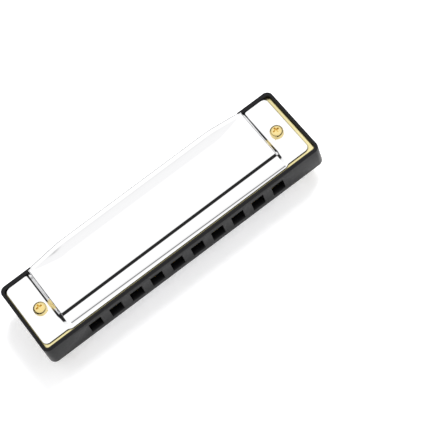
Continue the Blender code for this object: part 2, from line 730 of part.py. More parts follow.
def main():
    clear_scene()
    black_plastic = material("moulded black plastic", (0.018, 0.018, 0.020), 0.38, 0.0)
    chrome = material("polished chrome plate", (0.86, 0.87, 0.88), 0.05, 1.0)
    brass = material("rolled brass", (0.80, 0.58, 0.24), 0.28, 1.0)
    reed_brass = material("spring brass", (0.76, 0.57, 0.28), 0.32, 1.0)
    screw_brass = material("bright brass", (0.85, 0.63, 0.27), 0.2, 1.0)

    build_comb(black_plastic)
    build_plate("upper_reed_plate", 1, brass)
    build_plate("lower_reed_plate", -1, brass)
    build_reeds(reed_brass, brass)
    build_pins(brass)
    build_cover("upper_cover", 1, chrome)
    build_cover("lower_cover", -1, chrome)
    for side, place in ((-1, "left"), (1, "right")):
        build_screw(place + "_cover_screw", side * SCREW_X, screw_brass)
        build_nut(place + "_square_nut", side * SCREW_X, screw_brass)


main()
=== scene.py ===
"""Looks of a ten-hole diatonic harmonica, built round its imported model.

X runs along the instrument with hole 1 at -X, the mouth holes face -Y and Z is up.
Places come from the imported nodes' boxes, and sizes are in metres.
"""

import json
import math

import bmesh
import bpy
from bpy.props import FloatProperty, FloatVectorProperty, IntProperty, PointerProperty, StringProperty
from mathutils import Matrix, Vector

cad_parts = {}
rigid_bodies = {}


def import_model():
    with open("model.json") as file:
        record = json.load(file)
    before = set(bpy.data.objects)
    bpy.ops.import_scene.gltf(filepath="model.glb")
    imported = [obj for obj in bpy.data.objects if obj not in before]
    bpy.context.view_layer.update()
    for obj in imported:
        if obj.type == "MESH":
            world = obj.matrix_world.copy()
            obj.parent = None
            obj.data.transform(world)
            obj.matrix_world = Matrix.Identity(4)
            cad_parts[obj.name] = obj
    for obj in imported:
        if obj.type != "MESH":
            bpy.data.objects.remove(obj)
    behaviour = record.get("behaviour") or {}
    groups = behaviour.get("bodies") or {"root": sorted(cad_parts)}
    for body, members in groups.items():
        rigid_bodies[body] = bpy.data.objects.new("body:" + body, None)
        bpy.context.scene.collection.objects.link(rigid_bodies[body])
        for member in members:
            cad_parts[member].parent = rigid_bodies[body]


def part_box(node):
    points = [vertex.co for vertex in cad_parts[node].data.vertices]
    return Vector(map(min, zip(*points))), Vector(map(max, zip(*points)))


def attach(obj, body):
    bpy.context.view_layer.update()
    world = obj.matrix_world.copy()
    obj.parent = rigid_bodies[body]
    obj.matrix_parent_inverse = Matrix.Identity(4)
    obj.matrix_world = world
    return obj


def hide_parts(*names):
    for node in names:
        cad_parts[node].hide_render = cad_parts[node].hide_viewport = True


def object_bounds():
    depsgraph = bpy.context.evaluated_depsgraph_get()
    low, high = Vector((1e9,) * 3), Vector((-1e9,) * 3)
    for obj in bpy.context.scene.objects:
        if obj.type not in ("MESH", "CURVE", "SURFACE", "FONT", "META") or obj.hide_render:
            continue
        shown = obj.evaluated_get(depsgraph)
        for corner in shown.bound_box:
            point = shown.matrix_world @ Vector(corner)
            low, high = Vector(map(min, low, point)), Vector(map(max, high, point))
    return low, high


bl_info = {
    "name": "Diatonic harmonica",
    "version": (1, 0, 0),
    "blender": (4, 5, 0),
    "location": "3D View > Sidebar > Harmonica",
    "description": "Comb, reed plates, reeds, covers and fixings of a ten-hole harmonica",
    "category": "Object",
}

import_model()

MM = 0.001
HOLES = 10
SHARP_ANGLE = math.radians(35)
RIVET_CLEARANCE = 0.03 * MM
SCREW_CLEARANCE = 0.25 * MM

CAD_LOW, CAD_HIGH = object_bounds()
COMB_LOW, COMB_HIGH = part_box("comb")
MIDDLE_Z = (COMB_LOW.z + COMB_HIGH.z) / 2
UPPER_COVER_LOW, UPPER_COVER_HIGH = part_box("upper_cover")


def node_centre(name):
    """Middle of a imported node's box."""
    low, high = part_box(name)
    return (low + high) / 2


def numbered(stem):
    """Names of the ten nodes of one kind."""
    return [f"{stem}_{number:02d}" for number in range(1, HOLES + 1)]


def linear(hex_colour):
    """Linear colour from an sRGB hex value."""
    channels = [int(hex_colour[place:place + 2], 16) / 255 for place in (1, 3, 5)]
    return [c / 12.92 if c <= 0.04045 else ((c + 0.055) / 1.055) ** 2.4 for c in channels]


class HARMONICA_PG_comb(bpy.types.PropertyGroup):
    """Sizes of the moulded comb"""

    rim_width: FloatProperty(
        name="Rim width", description="Width of the rim along the front and back of each recess",
        default=1.3 * MM, min=0.5 * MM, max=3 * MM, unit="LENGTH",
    )
    end_rim_width: FloatProperty(
        name="End rim width", description="Width of the rim at the two ends",
        default=0.9 * MM, min=0.5 * MM, max=3 * MM, unit="LENGTH",
    )
    corner_radius: FloatProperty(
        name="Corner radius", description="Radius of the comb's upright corners",
        default=2.1 * MM, min=1 * MM, max=8 * MM, unit="LENGTH",
    )
    outer_rounding: FloatProperty(
        name="Outer rounding", description="Rounding of the comb's outer edges",
        default=0.3 * MM, min=0.05 * MM, max=1 * MM, unit="LENGTH",
    )
    inner_rounding: FloatProperty(
        name="Inner rounding", description="Rounding of the rim's inner edge and of the mouth holes",
        default=0.12 * MM, min=0.02 * MM, max=0.5 * MM, unit="LENGTH",
    )
    web_height: FloatProperty(
        name="Web height", description="Thickness of the comb between its two recesses",
        default=4.8 * MM, min=3 * MM, max=6 * MM, unit="LENGTH",
    )
    hole_width: FloatProperty(
        name="Hole width", description="Width of a mouth hole and of its chamber",
        default=4.3 * MM, min=2 * MM, max=6 * MM, unit="LENGTH",
    )
    hole_lip: FloatProperty(
        name="Hole lip", description="Plastic left above and below a mouth hole",
        default=0.05 * MM, min=0.01 * MM, max=1 * MM, unit="LENGTH",
    )
    front_land: FloatProperty(
        name="Front land", description="Depth of the bridge behind the rim, over each mouth hole",
        default=1.0 * MM, min=0.3 * MM, max=3 * MM, unit="LENGTH",
    )
    chamber_end_gap: FloatProperty(
        name="Chamber end gap", description="Room between a reed's tip and its chamber's end",
        default=1.2 * MM, min=0.3 * MM, max=3 * MM, unit="LENGTH",
    )


class HARMONICA_PG_cover(bpy.types.PropertyGroup):
    """Sizes of a folded cover, seen in section from its front flange to its rear lip"""

    sheet: FloatProperty(
        name="Sheet", description="Thickness of the sheet", default=0.4 * MM, unit="LENGTH",
    )
    flange_depth: FloatProperty(
        name="Flange depth", description="Flat strip at the front edge", default=1.07 * MM, unit="LENGTH",
    )
    flange_inset: FloatProperty(
        name="Flange inset", description="How far the sheared front edge stands back in its place",
        default=0.08 * MM, unit="LENGTH",
    )
    crease_radius: FloatProperty(
        name="Crease radius", description="Soft bend between flange and front panel",
        default=2.0 * MM, unit="LENGTH",
    )
    crease_taper: FloatProperty(
        name="Crease taper", description="How far the crease nears the front edge, per metre towards +X",
        default=-0.012,
    )
    front_depth: FloatProperty(
        name="Front panel depth", description="Run of the sloping front panel",
        default=3.25 * MM, unit="LENGTH",
    )
    front_rise: FloatProperty(
        name="Front panel rise", description="Rise of the sloping front panel",
        default=1.1 * MM, unit="LENGTH",
    )
    front_hollow: FloatProperty(
        name="Front panel hollow", description="How far the front panel sags in its middle",
        default=0.06 * MM, unit="LENGTH",
    )
    step_depth: FloatProperty(
        name="Step depth", description="Run of the steep step", default=0.7 * MM, unit="LENGTH",
    )
    step_rise: FloatProperty(
        name="Step rise", description="Rise of the steep step", default=1.15 * MM, unit="LENGTH",
    )
    step_foot_radius: FloatProperty(
        name="Step foot radius", description="Hollow bend at the step's foot",
        default=0.6 * MM, unit="LENGTH",
    )
    step_top_radius: FloatProperty(
        name="Step top radius", description="Bend at the step's top", default=0.6 * MM, unit="LENGTH",
    )
    crest_rise: FloatProperty(
        name="Crest rise", description="Height of the raised crest over the main panel at the fold",
        default=2.3 * MM, unit="LENGTH",
    )
    crest_depth: FloatProperty(
        name="Crest depth", description="Flat strip along the crest", default=1.0 * MM, unit="LENGTH",
    )
    crest_radius: FloatProperty(
        name="Crest radius", description="Bend between ramp and crest", default=0.8 * MM, unit="LENGTH",
    )
    ramp_depth: FloatProperty(
        name="Ramp depth", description="Run of the hollow ramp up to the crest",
        default=4.6 * MM, unit="LENGTH",
    )
    fold_radius: FloatProperty(
        name="Fold radius", description="Radius of the rear fold", default=0.8 * MM, unit="LENGTH",
    )
    rear_gap: FloatProperty(
        name="Rear gap", description="Room between the rear lip and the comb's rim",
        default=0.25 * MM, unit="LENGTH",
    )
    lip_height: FloatProperty(
        name="Lip height", description="Height of the rear lip below the crest",
        default=2.85 * MM, unit="LENGTH",
    )
    lip_end_height: FloatProperty(
        name="Lip end height", description="Gap under the lip's ends", default=0.1 * MM, unit="LENGTH",
    )
    shift: FloatProperty(
        name="Shift", description="How far the covers sit towards the highest hole",
        default=-0.45 * MM, unit="LENGTH",
    )
    end_land: FloatProperty(
        name="End land", description="Distance from the comb's end to the foot of the cover's end wall",
        default=9.95 * MM, unit="LENGTH",
    )
    end_slant: FloatProperty(
        name="End slant", description="How far the end wall leans in", default=1.15 * MM, unit="LENGTH",
    )
    wall_top_radius: FloatProperty(
        name="Wall top radius", description="Bend at the end wall's top", default=0.55 * MM, unit="LENGTH",
    )
    wall_foot_radius: FloatProperty(
        name="Wall foot radius", description="Hollow bend at the end wall's foot",
        default=0.85 * MM, unit="LENGTH",
    )
    wing_front_gap: FloatProperty(
        name="Wing front gap", description="Strip of plate that shows in front of a wing",
        default=1.2 * MM, unit="LENGTH",
    )
    wing_back_gap: FloatProperty(
        name="Wing back gap", description="Room between a wing and the comb's rear rim",
        default=0.12 * MM, unit="LENGTH",
    )
    wing_corner: FloatProperty(
        name="Wing corner", description="Radius of a wing's outer corners", default=1.6 * MM, unit="LENGTH",
    )
    crest_end: FloatProperty(
        name="Crest end", description="Run of the crest's slope from the end wall to its full height",
        default=11.5 * MM, unit="LENGTH",
    )
    crest_end_blend: FloatProperty(
        name="Crest end blend", description="How softly that slope turns level",
        default=2.0 * MM, unit="LENGTH",
    )
    opening_end_inner: FloatProperty(
        name="Opening end, inner", description="Where the sound opening starts to close",
        default=12.0 * MM, unit="LENGTH",
    )
    opening_end_outer: FloatProperty(
        name="Opening end, outer", description="Where the sound opening has closed",
        default=7.0 * MM, unit="LENGTH",
    )
    lip_slit: FloatProperty(
        name="Lip slit", description="Slit between the lip's end and the end wall",
        default=0.5 * MM, unit="LENGTH",
    )
    bend_steps: IntProperty(name="Bend steps", description="Facets in each bend", default=8, min=3, max=16)
    edge_rounding: FloatProperty(
        name="Edge rounding", description="Rounding of the sheared edges", default=0.04 * MM, unit="LENGTH",
    )


class HARMONICA_PG_reed(bpy.types.PropertyGroup):
    """Sizes of the reeds and of their fixings"""

    tongue_width: FloatProperty(
        name="Tongue width", description="Width of a reed's tongue", default=2.0 * MM, unit="LENGTH",
    )
    pad_width: FloatProperty(
        name="Pad width", description="Width of a reed's riveted pad", default=2.9 * MM, unit="LENGTH",
    )
    pad_length: FloatProperty(
        name="Pad length", description="Length of a reed's riveted pad", default=3.0 * MM, unit="LENGTH",
    )
    pad_corner: FloatProperty(
        name="Pad corner", description="Radius of the pad's corners", default=0.6 * MM, unit="LENGTH",
    )
    thickness: FloatProperty(
        name="Thickness", description="Thickness of the pad and of the tongue's root",
        default=0.25 * MM, unit="LENGTH",
    )
    tip_thickness: FloatProperty(
        name="Tip thickness", description="Thickness of a tongue where it is milled thinnest",
        default=0.13 * MM, unit="LENGTH",
    )
    slot_gap: FloatProperty(
        name="Slot gap", description="Room beside a tongue in its slot", default=0.2 * MM, unit="LENGTH",
    )
    slot_end_gap: FloatProperty(
        name="Slot end gap", description="Room at each end of a slot", default=0.3 * MM, unit="LENGTH",
    )
    hole_radius: FloatProperty(
        name="Hole radius", description="Radius of the rivet hole in a pad", default=0.62 * MM, unit="LENGTH",
    )
    rivet_radius: FloatProperty(
        name="Rivet radius", description="Radius of a rivet's or pin's shank",
        default=0.5 * MM, unit="LENGTH",
    )


class HARMONICA_PG_screw(bpy.types.PropertyGroup):
    """Sizes of the cover screws and nuts"""

    shank_radius: FloatProperty(
        name="Shank radius", description="Outer radius of the thread", default=1.0 * MM, unit="LENGTH",
    )
    head_height: FloatProperty(
        name="Head height", description="Height of the pan head", default=1.5 * MM, unit="LENGTH",
    )
    thread_depth: FloatProperty(
        name="Thread depth", description="Depth of the thread", default=0.16 * MM, unit="LENGTH",
    )
    thread_pitch: FloatProperty(
        name="Thread pitch", description="Rise of one turn of the thread", default=0.4 * MM, unit="LENGTH",
    )
    recess_length: FloatProperty(
        name="Recess length", description="Length of the cross recess", default=2.6 * MM, unit="LENGTH",
    )
    recess_width: FloatProperty(
        name="Recess width", description="Width of the cross recess", default=0.7 * MM, unit="LENGTH",
    )
    recess_depth: FloatProperty(
        name="Recess depth", description="Depth of the cross recess", default=1.0 * MM, unit="LENGTH",
    )
    nut_chamfer: FloatProperty(
        name="Nut chamfer", description="Chamfer of the square nut", default=0.3 * MM, unit="LENGTH",
    )


class HARMONICA_PG_finish(bpy.types.PropertyGroup):
    """Colours of the finishes, as sRGB hex values"""

    chrome: StringProperty(name="Chrome", description="Polished chrome plate", default="#F7F7F8")
    # The cut edge's colour is darkened with painted shade, for the dark line along the sheet's edge.
    cut_edge: StringProperty(name="Cut edge", description="Sheared edge of the covers", default="#453F31")
    plastic: StringProperty(name="Plastic", description="Moulded black ABS", default="#0E0E10")
    plate: StringProperty(name="Plate brass", description="Rolled brass plate", default="#F5EAB6")
    reed: StringProperty(name="Reed brass", description="Milled spring brass", default="#D2A95C")
    fixing: StringProperty(name="Fixing brass", description="Bright turned brass", default="#F4E2A4")
    floor: StringProperty(name="Floor", description="Pale studio floor", default="#F2F2F3")


class HARMONICA_PG_stage(bpy.types.PropertyGroup):
    """Camera, lamps and floor"""

    camera_place: FloatVectorProperty(
        name="Camera place", description="Where the camera stands", size=3, subtype="TRANSLATION",
        default=(-0.0477365, -0.2742833, 0.5048327),
    )
    azimuth: FloatProperty(
        name="Azimuth", description="Direction to the camera round Z, from -Y",
        default=math.radians(-13.215245), subtype="ANGLE",
    )
    elevation: FloatProperty(
        name="Elevation", description="Direction to the camera above the floor",
        default=math.radians(61.299795), subtype="ANGLE",
    )
    roll: FloatProperty(
        name="Roll", description="Turn of the camera about its own axis",
        default=math.radians(-25.248880), subtype="ANGLE",
    )
    lens: FloatProperty(name="Lens", description="Focal length on a 36 mm sensor", default=155.4545)
    floor_radius: FloatProperty(
        name="Floor radius", description="Radius of the floor", default=0.3, unit="LENGTH",
    )
    sky: FloatProperty(name="Sky", description="Strength of the white surroundings", default=1.15)
    lean: FloatProperty(
        name="Lean", description="How much darker the surroundings are towards hole 1", default=0.32,
    )
    back_light: FloatProperty(
        name="Back light", description="How much brighter the surroundings are behind", default=0.3,
    )
    floor_glow: FloatProperty(
        name="Floor glow", description="Light that the floor adds of its own", default=0.32,
    )
    key: FloatProperty(name="Key", description="Power of the key lamp in watts", default=3.0)
    key_size: FloatProperty(name="Key size", description="Width of the key lamp", default=0.3, unit="LENGTH")
    key_place: FloatVectorProperty(
        name="Key place", description="Where the key lamp hangs", size=3, subtype="TRANSLATION",
        default=(0.32, 0.22, 0.5),
    )


def add_node(tree, kind, values=None, links=None, **settings):
    """Node of a kind, with its settings, its inputs' values and the sockets that feed it."""
    node = tree.nodes.new(kind)
    for name, value in settings.items():
        setattr(node, name, value)
    for socket, value in (values or {}).items():
        node.inputs[socket].default_value = value
    for socket, source in (links or {}).items():
        tree.links.new(source, node.inputs[socket])
    return node


def new_material(name, hex_colour, metallic, roughness):
    """Material with a Principled shader, and the shader's node."""
    made = bpy.data.materials.new(name)
    made.use_nodes = True
    colour = linear(hex_colour)
    made.diffuse_color = (*colour, 1.0)
    shader = made.node_tree.nodes["Principled BSDF"]
    shader.inputs["Base Color"].default_value = (*colour, 1.0)
    shader.inputs["Metallic"].default_value = metallic
    shader.inputs["Roughness"].default_value = roughness
    return made, shader


def vary(tree, shader, coordinates, size, detail, roughness_range, bump_depth, bump_strength=1.0):
    """Noise of a given size in metres that raises a surface and varies its roughness, if a range is given."""
    noise = add_node(
        tree, "ShaderNodeTexNoise", {"Scale": 1 / size, "Detail": detail}, {"Vector": coordinates},
    )
    if roughness_range:
        smooth, rough = roughness_range
        spread = add_node(
            tree, "ShaderNodeMapRange",
            {"From Min": 0.3, "From Max": 0.7, "To Min": smooth, "To Max": rough},
            {"Value": noise.outputs["Fac"]},
        )
        tree.links.new(spread.outputs["Result"], shader.inputs["Roughness"])
    bump = add_node(
        tree, "ShaderNodeBump", {"Strength": bump_strength, "Distance": bump_depth},
        {"Height": noise.outputs["Fac"]},
    )
    tree.links.new(bump.outputs["Normal"], shader.inputs["Normal"])
    return noise


def tint(tree, shader, factor, hex_colour, darker_hex):
    """Base colour that moves between two tones with a factor."""
    mix = add_node(tree, "ShaderNodeMix", data_type="RGBA", links={0: factor})
    mix.inputs[6].default_value = (*linear(hex_colour), 1.0)
    mix.inputs[7].default_value = (*linear(darker_hex), 1.0)
    tree.links.new(mix.outputs[2], shader.inputs["Base Color"])


def set_stops(ramp, stops):
    """Grey stops of a colour ramp, as (position, shade) pairs."""
    elements = ramp.color_ramp.elements
    for _ in stops[2:]:
        elements.new(0.5)
    for element, (position, shade) in zip(elements, stops):
        element.position = position
        element.color = (shade, shade, shade, 1.0)


def chrome_material(colours):
    """Brass sheet, pressed, plated with chrome and buffed: a mirror with very slow waves."""
    made, shader = new_material("polished chrome plate", colours.chrome, 1.0, 0.04)
    tree = made.node_tree
    place = add_node(tree, "ShaderNodeTexCoord").outputs["Object"]
    # Pressing leaves waves about 14 mm long and a hundredth of a millimetre deep in the mirror.
    vary(tree, shader, place, 14 * MM, 1.0, None, 0.012 * MM)
    # Buffing haze runs along the sheet in streaks 0.5 mm wide.
    along = add_node(tree, "ShaderNodeMapping", {"Scale": (0.04, 1.0, 1.0)}, {"Vector": place})
    haze = add_node(
        tree, "ShaderNodeTexNoise", {"Scale": 1 / (0.5 * MM), "Detail": 2.0},
        {"Vector": along.outputs["Vector"]},
    )
    streak = add_node(
        tree, "ShaderNodeMapRange", {"From Min": 0.35, "From Max": 0.75, "To Min": 0.02, "To Max": 0.055},
        {"Value": haze.outputs["Fac"]},
    )
    tree.links.new(streak.outputs["Result"], shader.inputs["Roughness"])
    # A painted shade line about 0.3 mm wide darkens the chrome's colour along the front crease.
    axes = add_node(tree, "ShaderNodeSeparateXYZ", links={"Vector": place})
    cover = bpy.context.scene.harmonica_cover
    crease = UPPER_COVER_LOW.y + cover.flange_inset + cover.flange_depth
    line = add_node(
        tree, "ShaderNodeMath", {1: cover.crease_taper, 2: crease}, {0: axes.outputs["X"]},
        operation="MULTIPLY_ADD",
    )
    beside = add_node(
        tree, "ShaderNodeMath", links={0: axes.outputs["Y"], 1: line.outputs["Value"]},
        operation="SUBTRACT",
    )
    away = add_node(tree, "ShaderNodeMath", links={0: beside.outputs["Value"]}, operation="ABSOLUTE")
    share = add_node(tree, "ShaderNodeMath", {1: 1 * MM}, {0: away.outputs["Value"]}, operation="DIVIDE")
    crease_shade = add_node(tree, "ShaderNodeValToRGB", links={"Fac": share.outputs["Value"]})
    set_stops(crease_shade, ((0.0, 0.12), (0.09, 0.2), (0.22, 0.84), (0.9, 1.0)))
    # The painted shade line ends at the end walls, short of the wings.
    along_x = add_node(tree, "ShaderNodeMath", links={0: axes.outputs["X"]}, operation="ABSOLUTE")
    wing = add_node(
        tree, "ShaderNodeMath", {1: COMB_HIGH.x - cover.end_land - cover.end_slant - 0.3 * MM},
        {0: along_x.outputs["Value"]}, operation="GREATER_THAN",
    )
    plain = (*linear(colours.chrome), 1.0)
    shaded = add_node(
        tree, "ShaderNodeMix", {0: 1.0, 7: plain}, {6: crease_shade.outputs["Color"]}, data_type="RGBA",
        blend_type="MULTIPLY",
    )
    colour = add_node(
        tree, "ShaderNodeMix", {7: plain}, {0: wing.outputs["Value"], 6: shaded.outputs[2]},
        data_type="RGBA",
    )
    tree.links.new(colour.outputs[2], shader.inputs["Base Color"])
    return made


def sheared_material(colours):
    """Cut edge of the covers' sheet: matt brass under the plating, with painted shade that makes it darker
    than the faces beside it.
    """
    made, shader = new_material("sheared sheet edge", colours.cut_edge, 1.0, 0.4)
    tree = made.node_tree
    place = add_node(tree, "ShaderNodeTexCoord").outputs["Object"]
    # The shear leaves marks 0.1 mm apart.
    vary(tree, shader, place, 0.1 * MM, 2.0, (0.32, 0.5), 0.004 * MM)
    return made


def plastic_material(colours):
    """Black ABS from a spark-eroded mould: a soft gloss over a fine grain."""
    made, shader = new_material("moulded black abs", colours.plastic, 0.0, 0.34)
    shader.inputs["Specular IOR Level"].default_value = 0.2
    tree = made.node_tree
    place = add_node(tree, "ShaderNodeTexCoord").outputs["Object"]
    # The mould's grain is about 0.05 mm; it is drawn at 0.18 mm, which is as coarse as shows.
    vary(tree, shader, place, 0.18 * MM, 3.0, (0.28, 0.42), 0.004 * MM)
    # Handling leaves slightly greyer patches some 6 mm across.
    patches = add_node(
        tree, "ShaderNodeTexNoise", {"Scale": 1 / (6 * MM), "Detail": 3.0}, {"Vector": place},
    )
    tint(tree, shader, patches.outputs["Fac"], colours.plastic, "#141416")
    return made


def plate_material(colours):
    """Rolled brass plate: fine rolling lines along its length and a soft yellow sheen."""
    made, shader = new_material("rolled brass plate", colours.plate, 1.0, 0.24)
    tree = made.node_tree
    place = add_node(tree, "ShaderNodeTexCoord").outputs["Object"]
    along = add_node(tree, "ShaderNodeMapping", {"Scale": (0.03, 1.0, 1.0)}, {"Vector": place})
    # Rolling lines are 0.15 mm apart and many centimetres long.
    vary(tree, shader, along.outputs["Vector"], 0.15 * MM, 2.0, (0.17, 0.3), 0.002 * MM)
    patches = add_node(
        tree, "ShaderNodeTexNoise", {"Scale": 1 / (9 * MM), "Detail": 4.0}, {"Vector": place},
    )
    tint(tree, shader, patches.outputs["Fac"], colours.plate, "#EBDC9C")
    # Painted shade: the brass's colour is darkened within 0.6 mm of the parts beside it, in the narrow gaps.
    clean = add_node(tree, "ShaderNodeAmbientOcclusion", {"Distance": 0.6 * MM})
    painted_gap_shade = add_node(tree, "ShaderNodeMath", {1: 2.0}, {0: clean.outputs["AO"]}, operation="POWER")
    gap_shaded_colour = add_node(
        tree, "ShaderNodeMix", {0: 1.0},
        {6: shader.inputs["Base Color"].links[0].from_socket, 7: painted_gap_shade.outputs["Value"]},
        data_type="RGBA", blend_type="MULTIPLY",
    )
    tree.links.new(gap_shaded_colour.outputs[2], shader.inputs["Base Color"])
    return made


def reed_material(colours):
    """Spring brass, milled along the tongue to tune it."""
    made, shader = new_material("milled spring brass", colours.reed, 1.0, 0.3)
    tree = made.node_tree
    place = add_node(tree, "ShaderNodeTexCoord").outputs["Object"]
    along = add_node(tree, "ShaderNodeMapping", {"Scale": (1.0, 0.05, 1.0)}, {"Vector": place})
    # Milling marks are 0.08 mm apart along the tongue.
    noise = vary(
        tree, shader, along.outputs["Vector"], 0.08 * MM, 2.0, (0.22, 0.4), 0.003 * MM,
    )
    tint(tree, shader, noise.outputs["Fac"], colours.reed, "#B98D42")
    return made


def fixing_material(colours):
    """Bright turned brass: tool rings round each head and a warm, clean gloss."""
    made, shader = new_material("bright turned brass", colours.fixing, 1.0, 0.16)
    tree = made.node_tree
    place = add_node(tree, "ShaderNodeTexCoord").outputs["Object"]
    axes = add_node(tree, "ShaderNodeSeparateXYZ", links={"Vector": place})
    # The screws stand as far left as right, so one set of rings serves both.
    side = add_node(tree, "ShaderNodeMath", operation="ABSOLUTE", links={0: axes.outputs["X"]})
    inward = add_node(
        tree, "ShaderNodeMath", {1: node_centre("right_cover_screw").x}, {0: side.outputs["Value"]},
        operation="SUBTRACT",
    )
    centred = add_node(
        tree, "ShaderNodeCombineXYZ", links={"X": inward.outputs["Value"], "Y": axes.outputs["Y"]},
    )
    # Tool marks are 0.2 mm apart, as coarse as shows.
    rings = add_node(
        tree, "ShaderNodeTexWave", {"Scale": 0.314 / (0.2 * MM), "Distortion": 1.5, "Detail": 1.0},
        {"Vector": centred.outputs["Vector"]}, wave_type="RINGS", rings_direction="Z",
    )
    spread = add_node(
        tree, "ShaderNodeMapRange", {"To Min": 0.12, "To Max": 0.2}, {"Value": rings.outputs["Fac"]},
    )
    tree.links.new(spread.outputs["Result"], shader.inputs["Roughness"])
    tone = add_node(
        tree, "ShaderNodeTexNoise", {"Scale": 1 / (1.5 * MM), "Detail": 2.0}, {"Vector": place},
    )
    tint(tree, shader, tone.outputs["Fac"], colours.fixing, "#E6CD88")
    return made


def floor_material(colours):
    """Pale paper sweep that stays white to the lens and to metal, and keeps the shadow."""
    made, shader = new_material("pale paper sweep", colours.floor, 0.0, 0.9)
    tree = made.node_tree
    shader.inputs["Specular IOR Level"].default_value = 0.1
    place = add_node(tree, "ShaderNodeTexCoord").outputs["Object"]
    # Paper fibre clumps are about 0.8 mm across.
    vary(tree, shader, place, 0.8 * MM, 4.0, (0.85, 0.95), 0.01 * MM, 0.3)
    glow = add_node(tree, "ShaderNodeEmission")
    path = add_node(tree, "ShaderNodeLightPath")
    seen = add_node(
        tree, "ShaderNodeMath", operation="MAXIMUM",
        links={0: path.outputs["Is Camera Ray"], 1: path.outputs["Is Glossy Ray"]},
    )
    scaled = add_node(
        tree, "ShaderNodeMath", {1: bpy.context.scene.harmonica_stage.floor_glow},
        {0: seen.outputs["Value"]}, operation="MULTIPLY",
    )
    tree.links.new(scaled.outputs["Value"], glow.inputs["Strength"])
    both = add_node(
        tree, "ShaderNodeAddShader", links={0: shader.outputs["BSDF"], 1: glow.outputs["Emission"]},
    )
    tree.links.new(both.outputs["Shader"], tree.nodes["Material Output"].inputs["Surface"])
    return made


def finish_of(name, maker):
    """A finish by its name, made the first time that it is asked for."""
    found = bpy.data.materials.get(name)
    return found or maker(bpy.context.scene.harmonica_finish)


def piece_from(shape, name, finish, smooth=SHARP_ANGLE):
    """Object at the origin from a bmesh in place, with smooth faces and kept sharp edges."""
    mesh = bpy.data.meshes.new(name)
    shape.to_mesh(mesh)
    shape.free()
    mesh.shade_smooth()
    mesh.set_sharp_from_angle(angle=smooth)
    mesh.materials.append(finish)
    made = bpy.data.objects.new(name, mesh)
    bpy.context.scene.collection.objects.link(made)
    return made


def settled(piece, smooth=SHARP_ANGLE):
    """The piece with its modifiers turned into plain mesh."""
    graph = bpy.context.evaluated_depsgraph_get()
    mesh = bpy.data.meshes.new_from_object(piece.evaluated_get(graph), depsgraph=graph)
    piece.modifiers.clear()
    piece.data = mesh
    mesh.shade_smooth()
    mesh.set_sharp_from_angle(angle=smooth)
    return piece


def seat(piece, body, slot, *nodes):
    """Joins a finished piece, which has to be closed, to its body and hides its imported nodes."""
    shape = bmesh.new()
    shape.from_mesh(piece.data)
    closed = bool(shape.faces) and all(len(edge.link_faces) == 2 for edge in shape.edges)
    shape.free()
    if not closed:
        raise RuntimeError(f"{piece.name} isn't a closed body")
    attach(piece, body)
    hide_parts(*nodes)
    return piece


def subtract(piece, shape):
    """Cuts a helper shape out of a piece."""
    bmesh.ops.recalc_face_normals(shape, faces=shape.faces)
    mesh = bpy.data.meshes.new("cutter")
    shape.to_mesh(mesh)
    shape.free()
    cutter = bpy.data.objects.new("cutter", mesh)
    bpy.context.scene.collection.objects.link(cutter)
    difference = piece.modifiers.new("cut", "BOOLEAN")
    difference.operation = "DIFFERENCE"
    difference.solver = "EXACT"
    difference.object = cutter
    settled(piece)
    bpy.data.objects.remove(cutter, do_unlink=True)


def add_prism(shape, outline, low_z, high_z):
    """Closed prism on an outline of (x, y) points."""
    low = [shape.verts.new((x, y, low_z)) for x, y in outline]
    high = [shape.verts.new((x, y, high_z)) for x, y in outline]
    shape.faces.new(low[::-1])
    shape.faces.new(high)
    for place in range(len(outline)):
        after = (place + 1) % len(outline)
        shape.faces.new((low[place], low[after], high[after], high[place]))


def rectangle(low_x, low_y, high_x, high_y):
    """Outline of a plain rectangle."""
    return [(low_x, low_y), (high_x, low_y), (high_x, high_y), (low_x, high_y)]


def rounded_rectangle(low, high, radius, steps=12):
    """Outline of a rectangle between two corners, with four arcs."""
    points = []
    corners = ((high.x, high.y, 0.0), (low.x, high.y, 0.5), (low.x, low.y, 1.0), (high.x, low.y, 1.5))
    for x, y, turn in corners:
        centre_x = x - math.copysign(radius, x)
        centre_y = y - math.copysign(radius, y)
        for step in range(steps + 1):
            angle = math.pi * (turn + 0.5 * step / steps)
            points.append((centre_x + radius * math.cos(angle), centre_y + radius * math.sin(angle)))
    return points


def circle(centre, radius, sides=24):
    """Outline of a circle."""
    angles = [2 * math.pi * side / sides for side in range(sides)]
    return [(centre.x + radius * math.cos(a), centre.y + radius * math.sin(a)) for a in angles]


def round_edges(piece, keep, amount, segments=3):
    """Rounds the edges of a piece that a test on their two ends picks."""
    shape = bmesh.new()
    shape.from_mesh(piece.data)
    bmesh.ops.remove_doubles(shape, verts=shape.verts, dist=0.001 * MM)
    flat = math.radians(1)
    picked = [
        edge for edge in shape.edges
        if len(edge.link_faces) == 2
        and edge.calc_face_angle(0) > flat
        and keep(edge.verts[0].co, edge.verts[1].co)
    ]
    bmesh.ops.bevel(
        shape, geom=picked, offset=amount, segments=segments, profile=0.5, affect="EDGES",
        clamp_overlap=True,
    )
    shape.to_mesh(piece.data)
    shape.free()
    piece.data.shade_smooth()
    piece.data.set_sharp_from_angle(angle=SHARP_ANGLE)


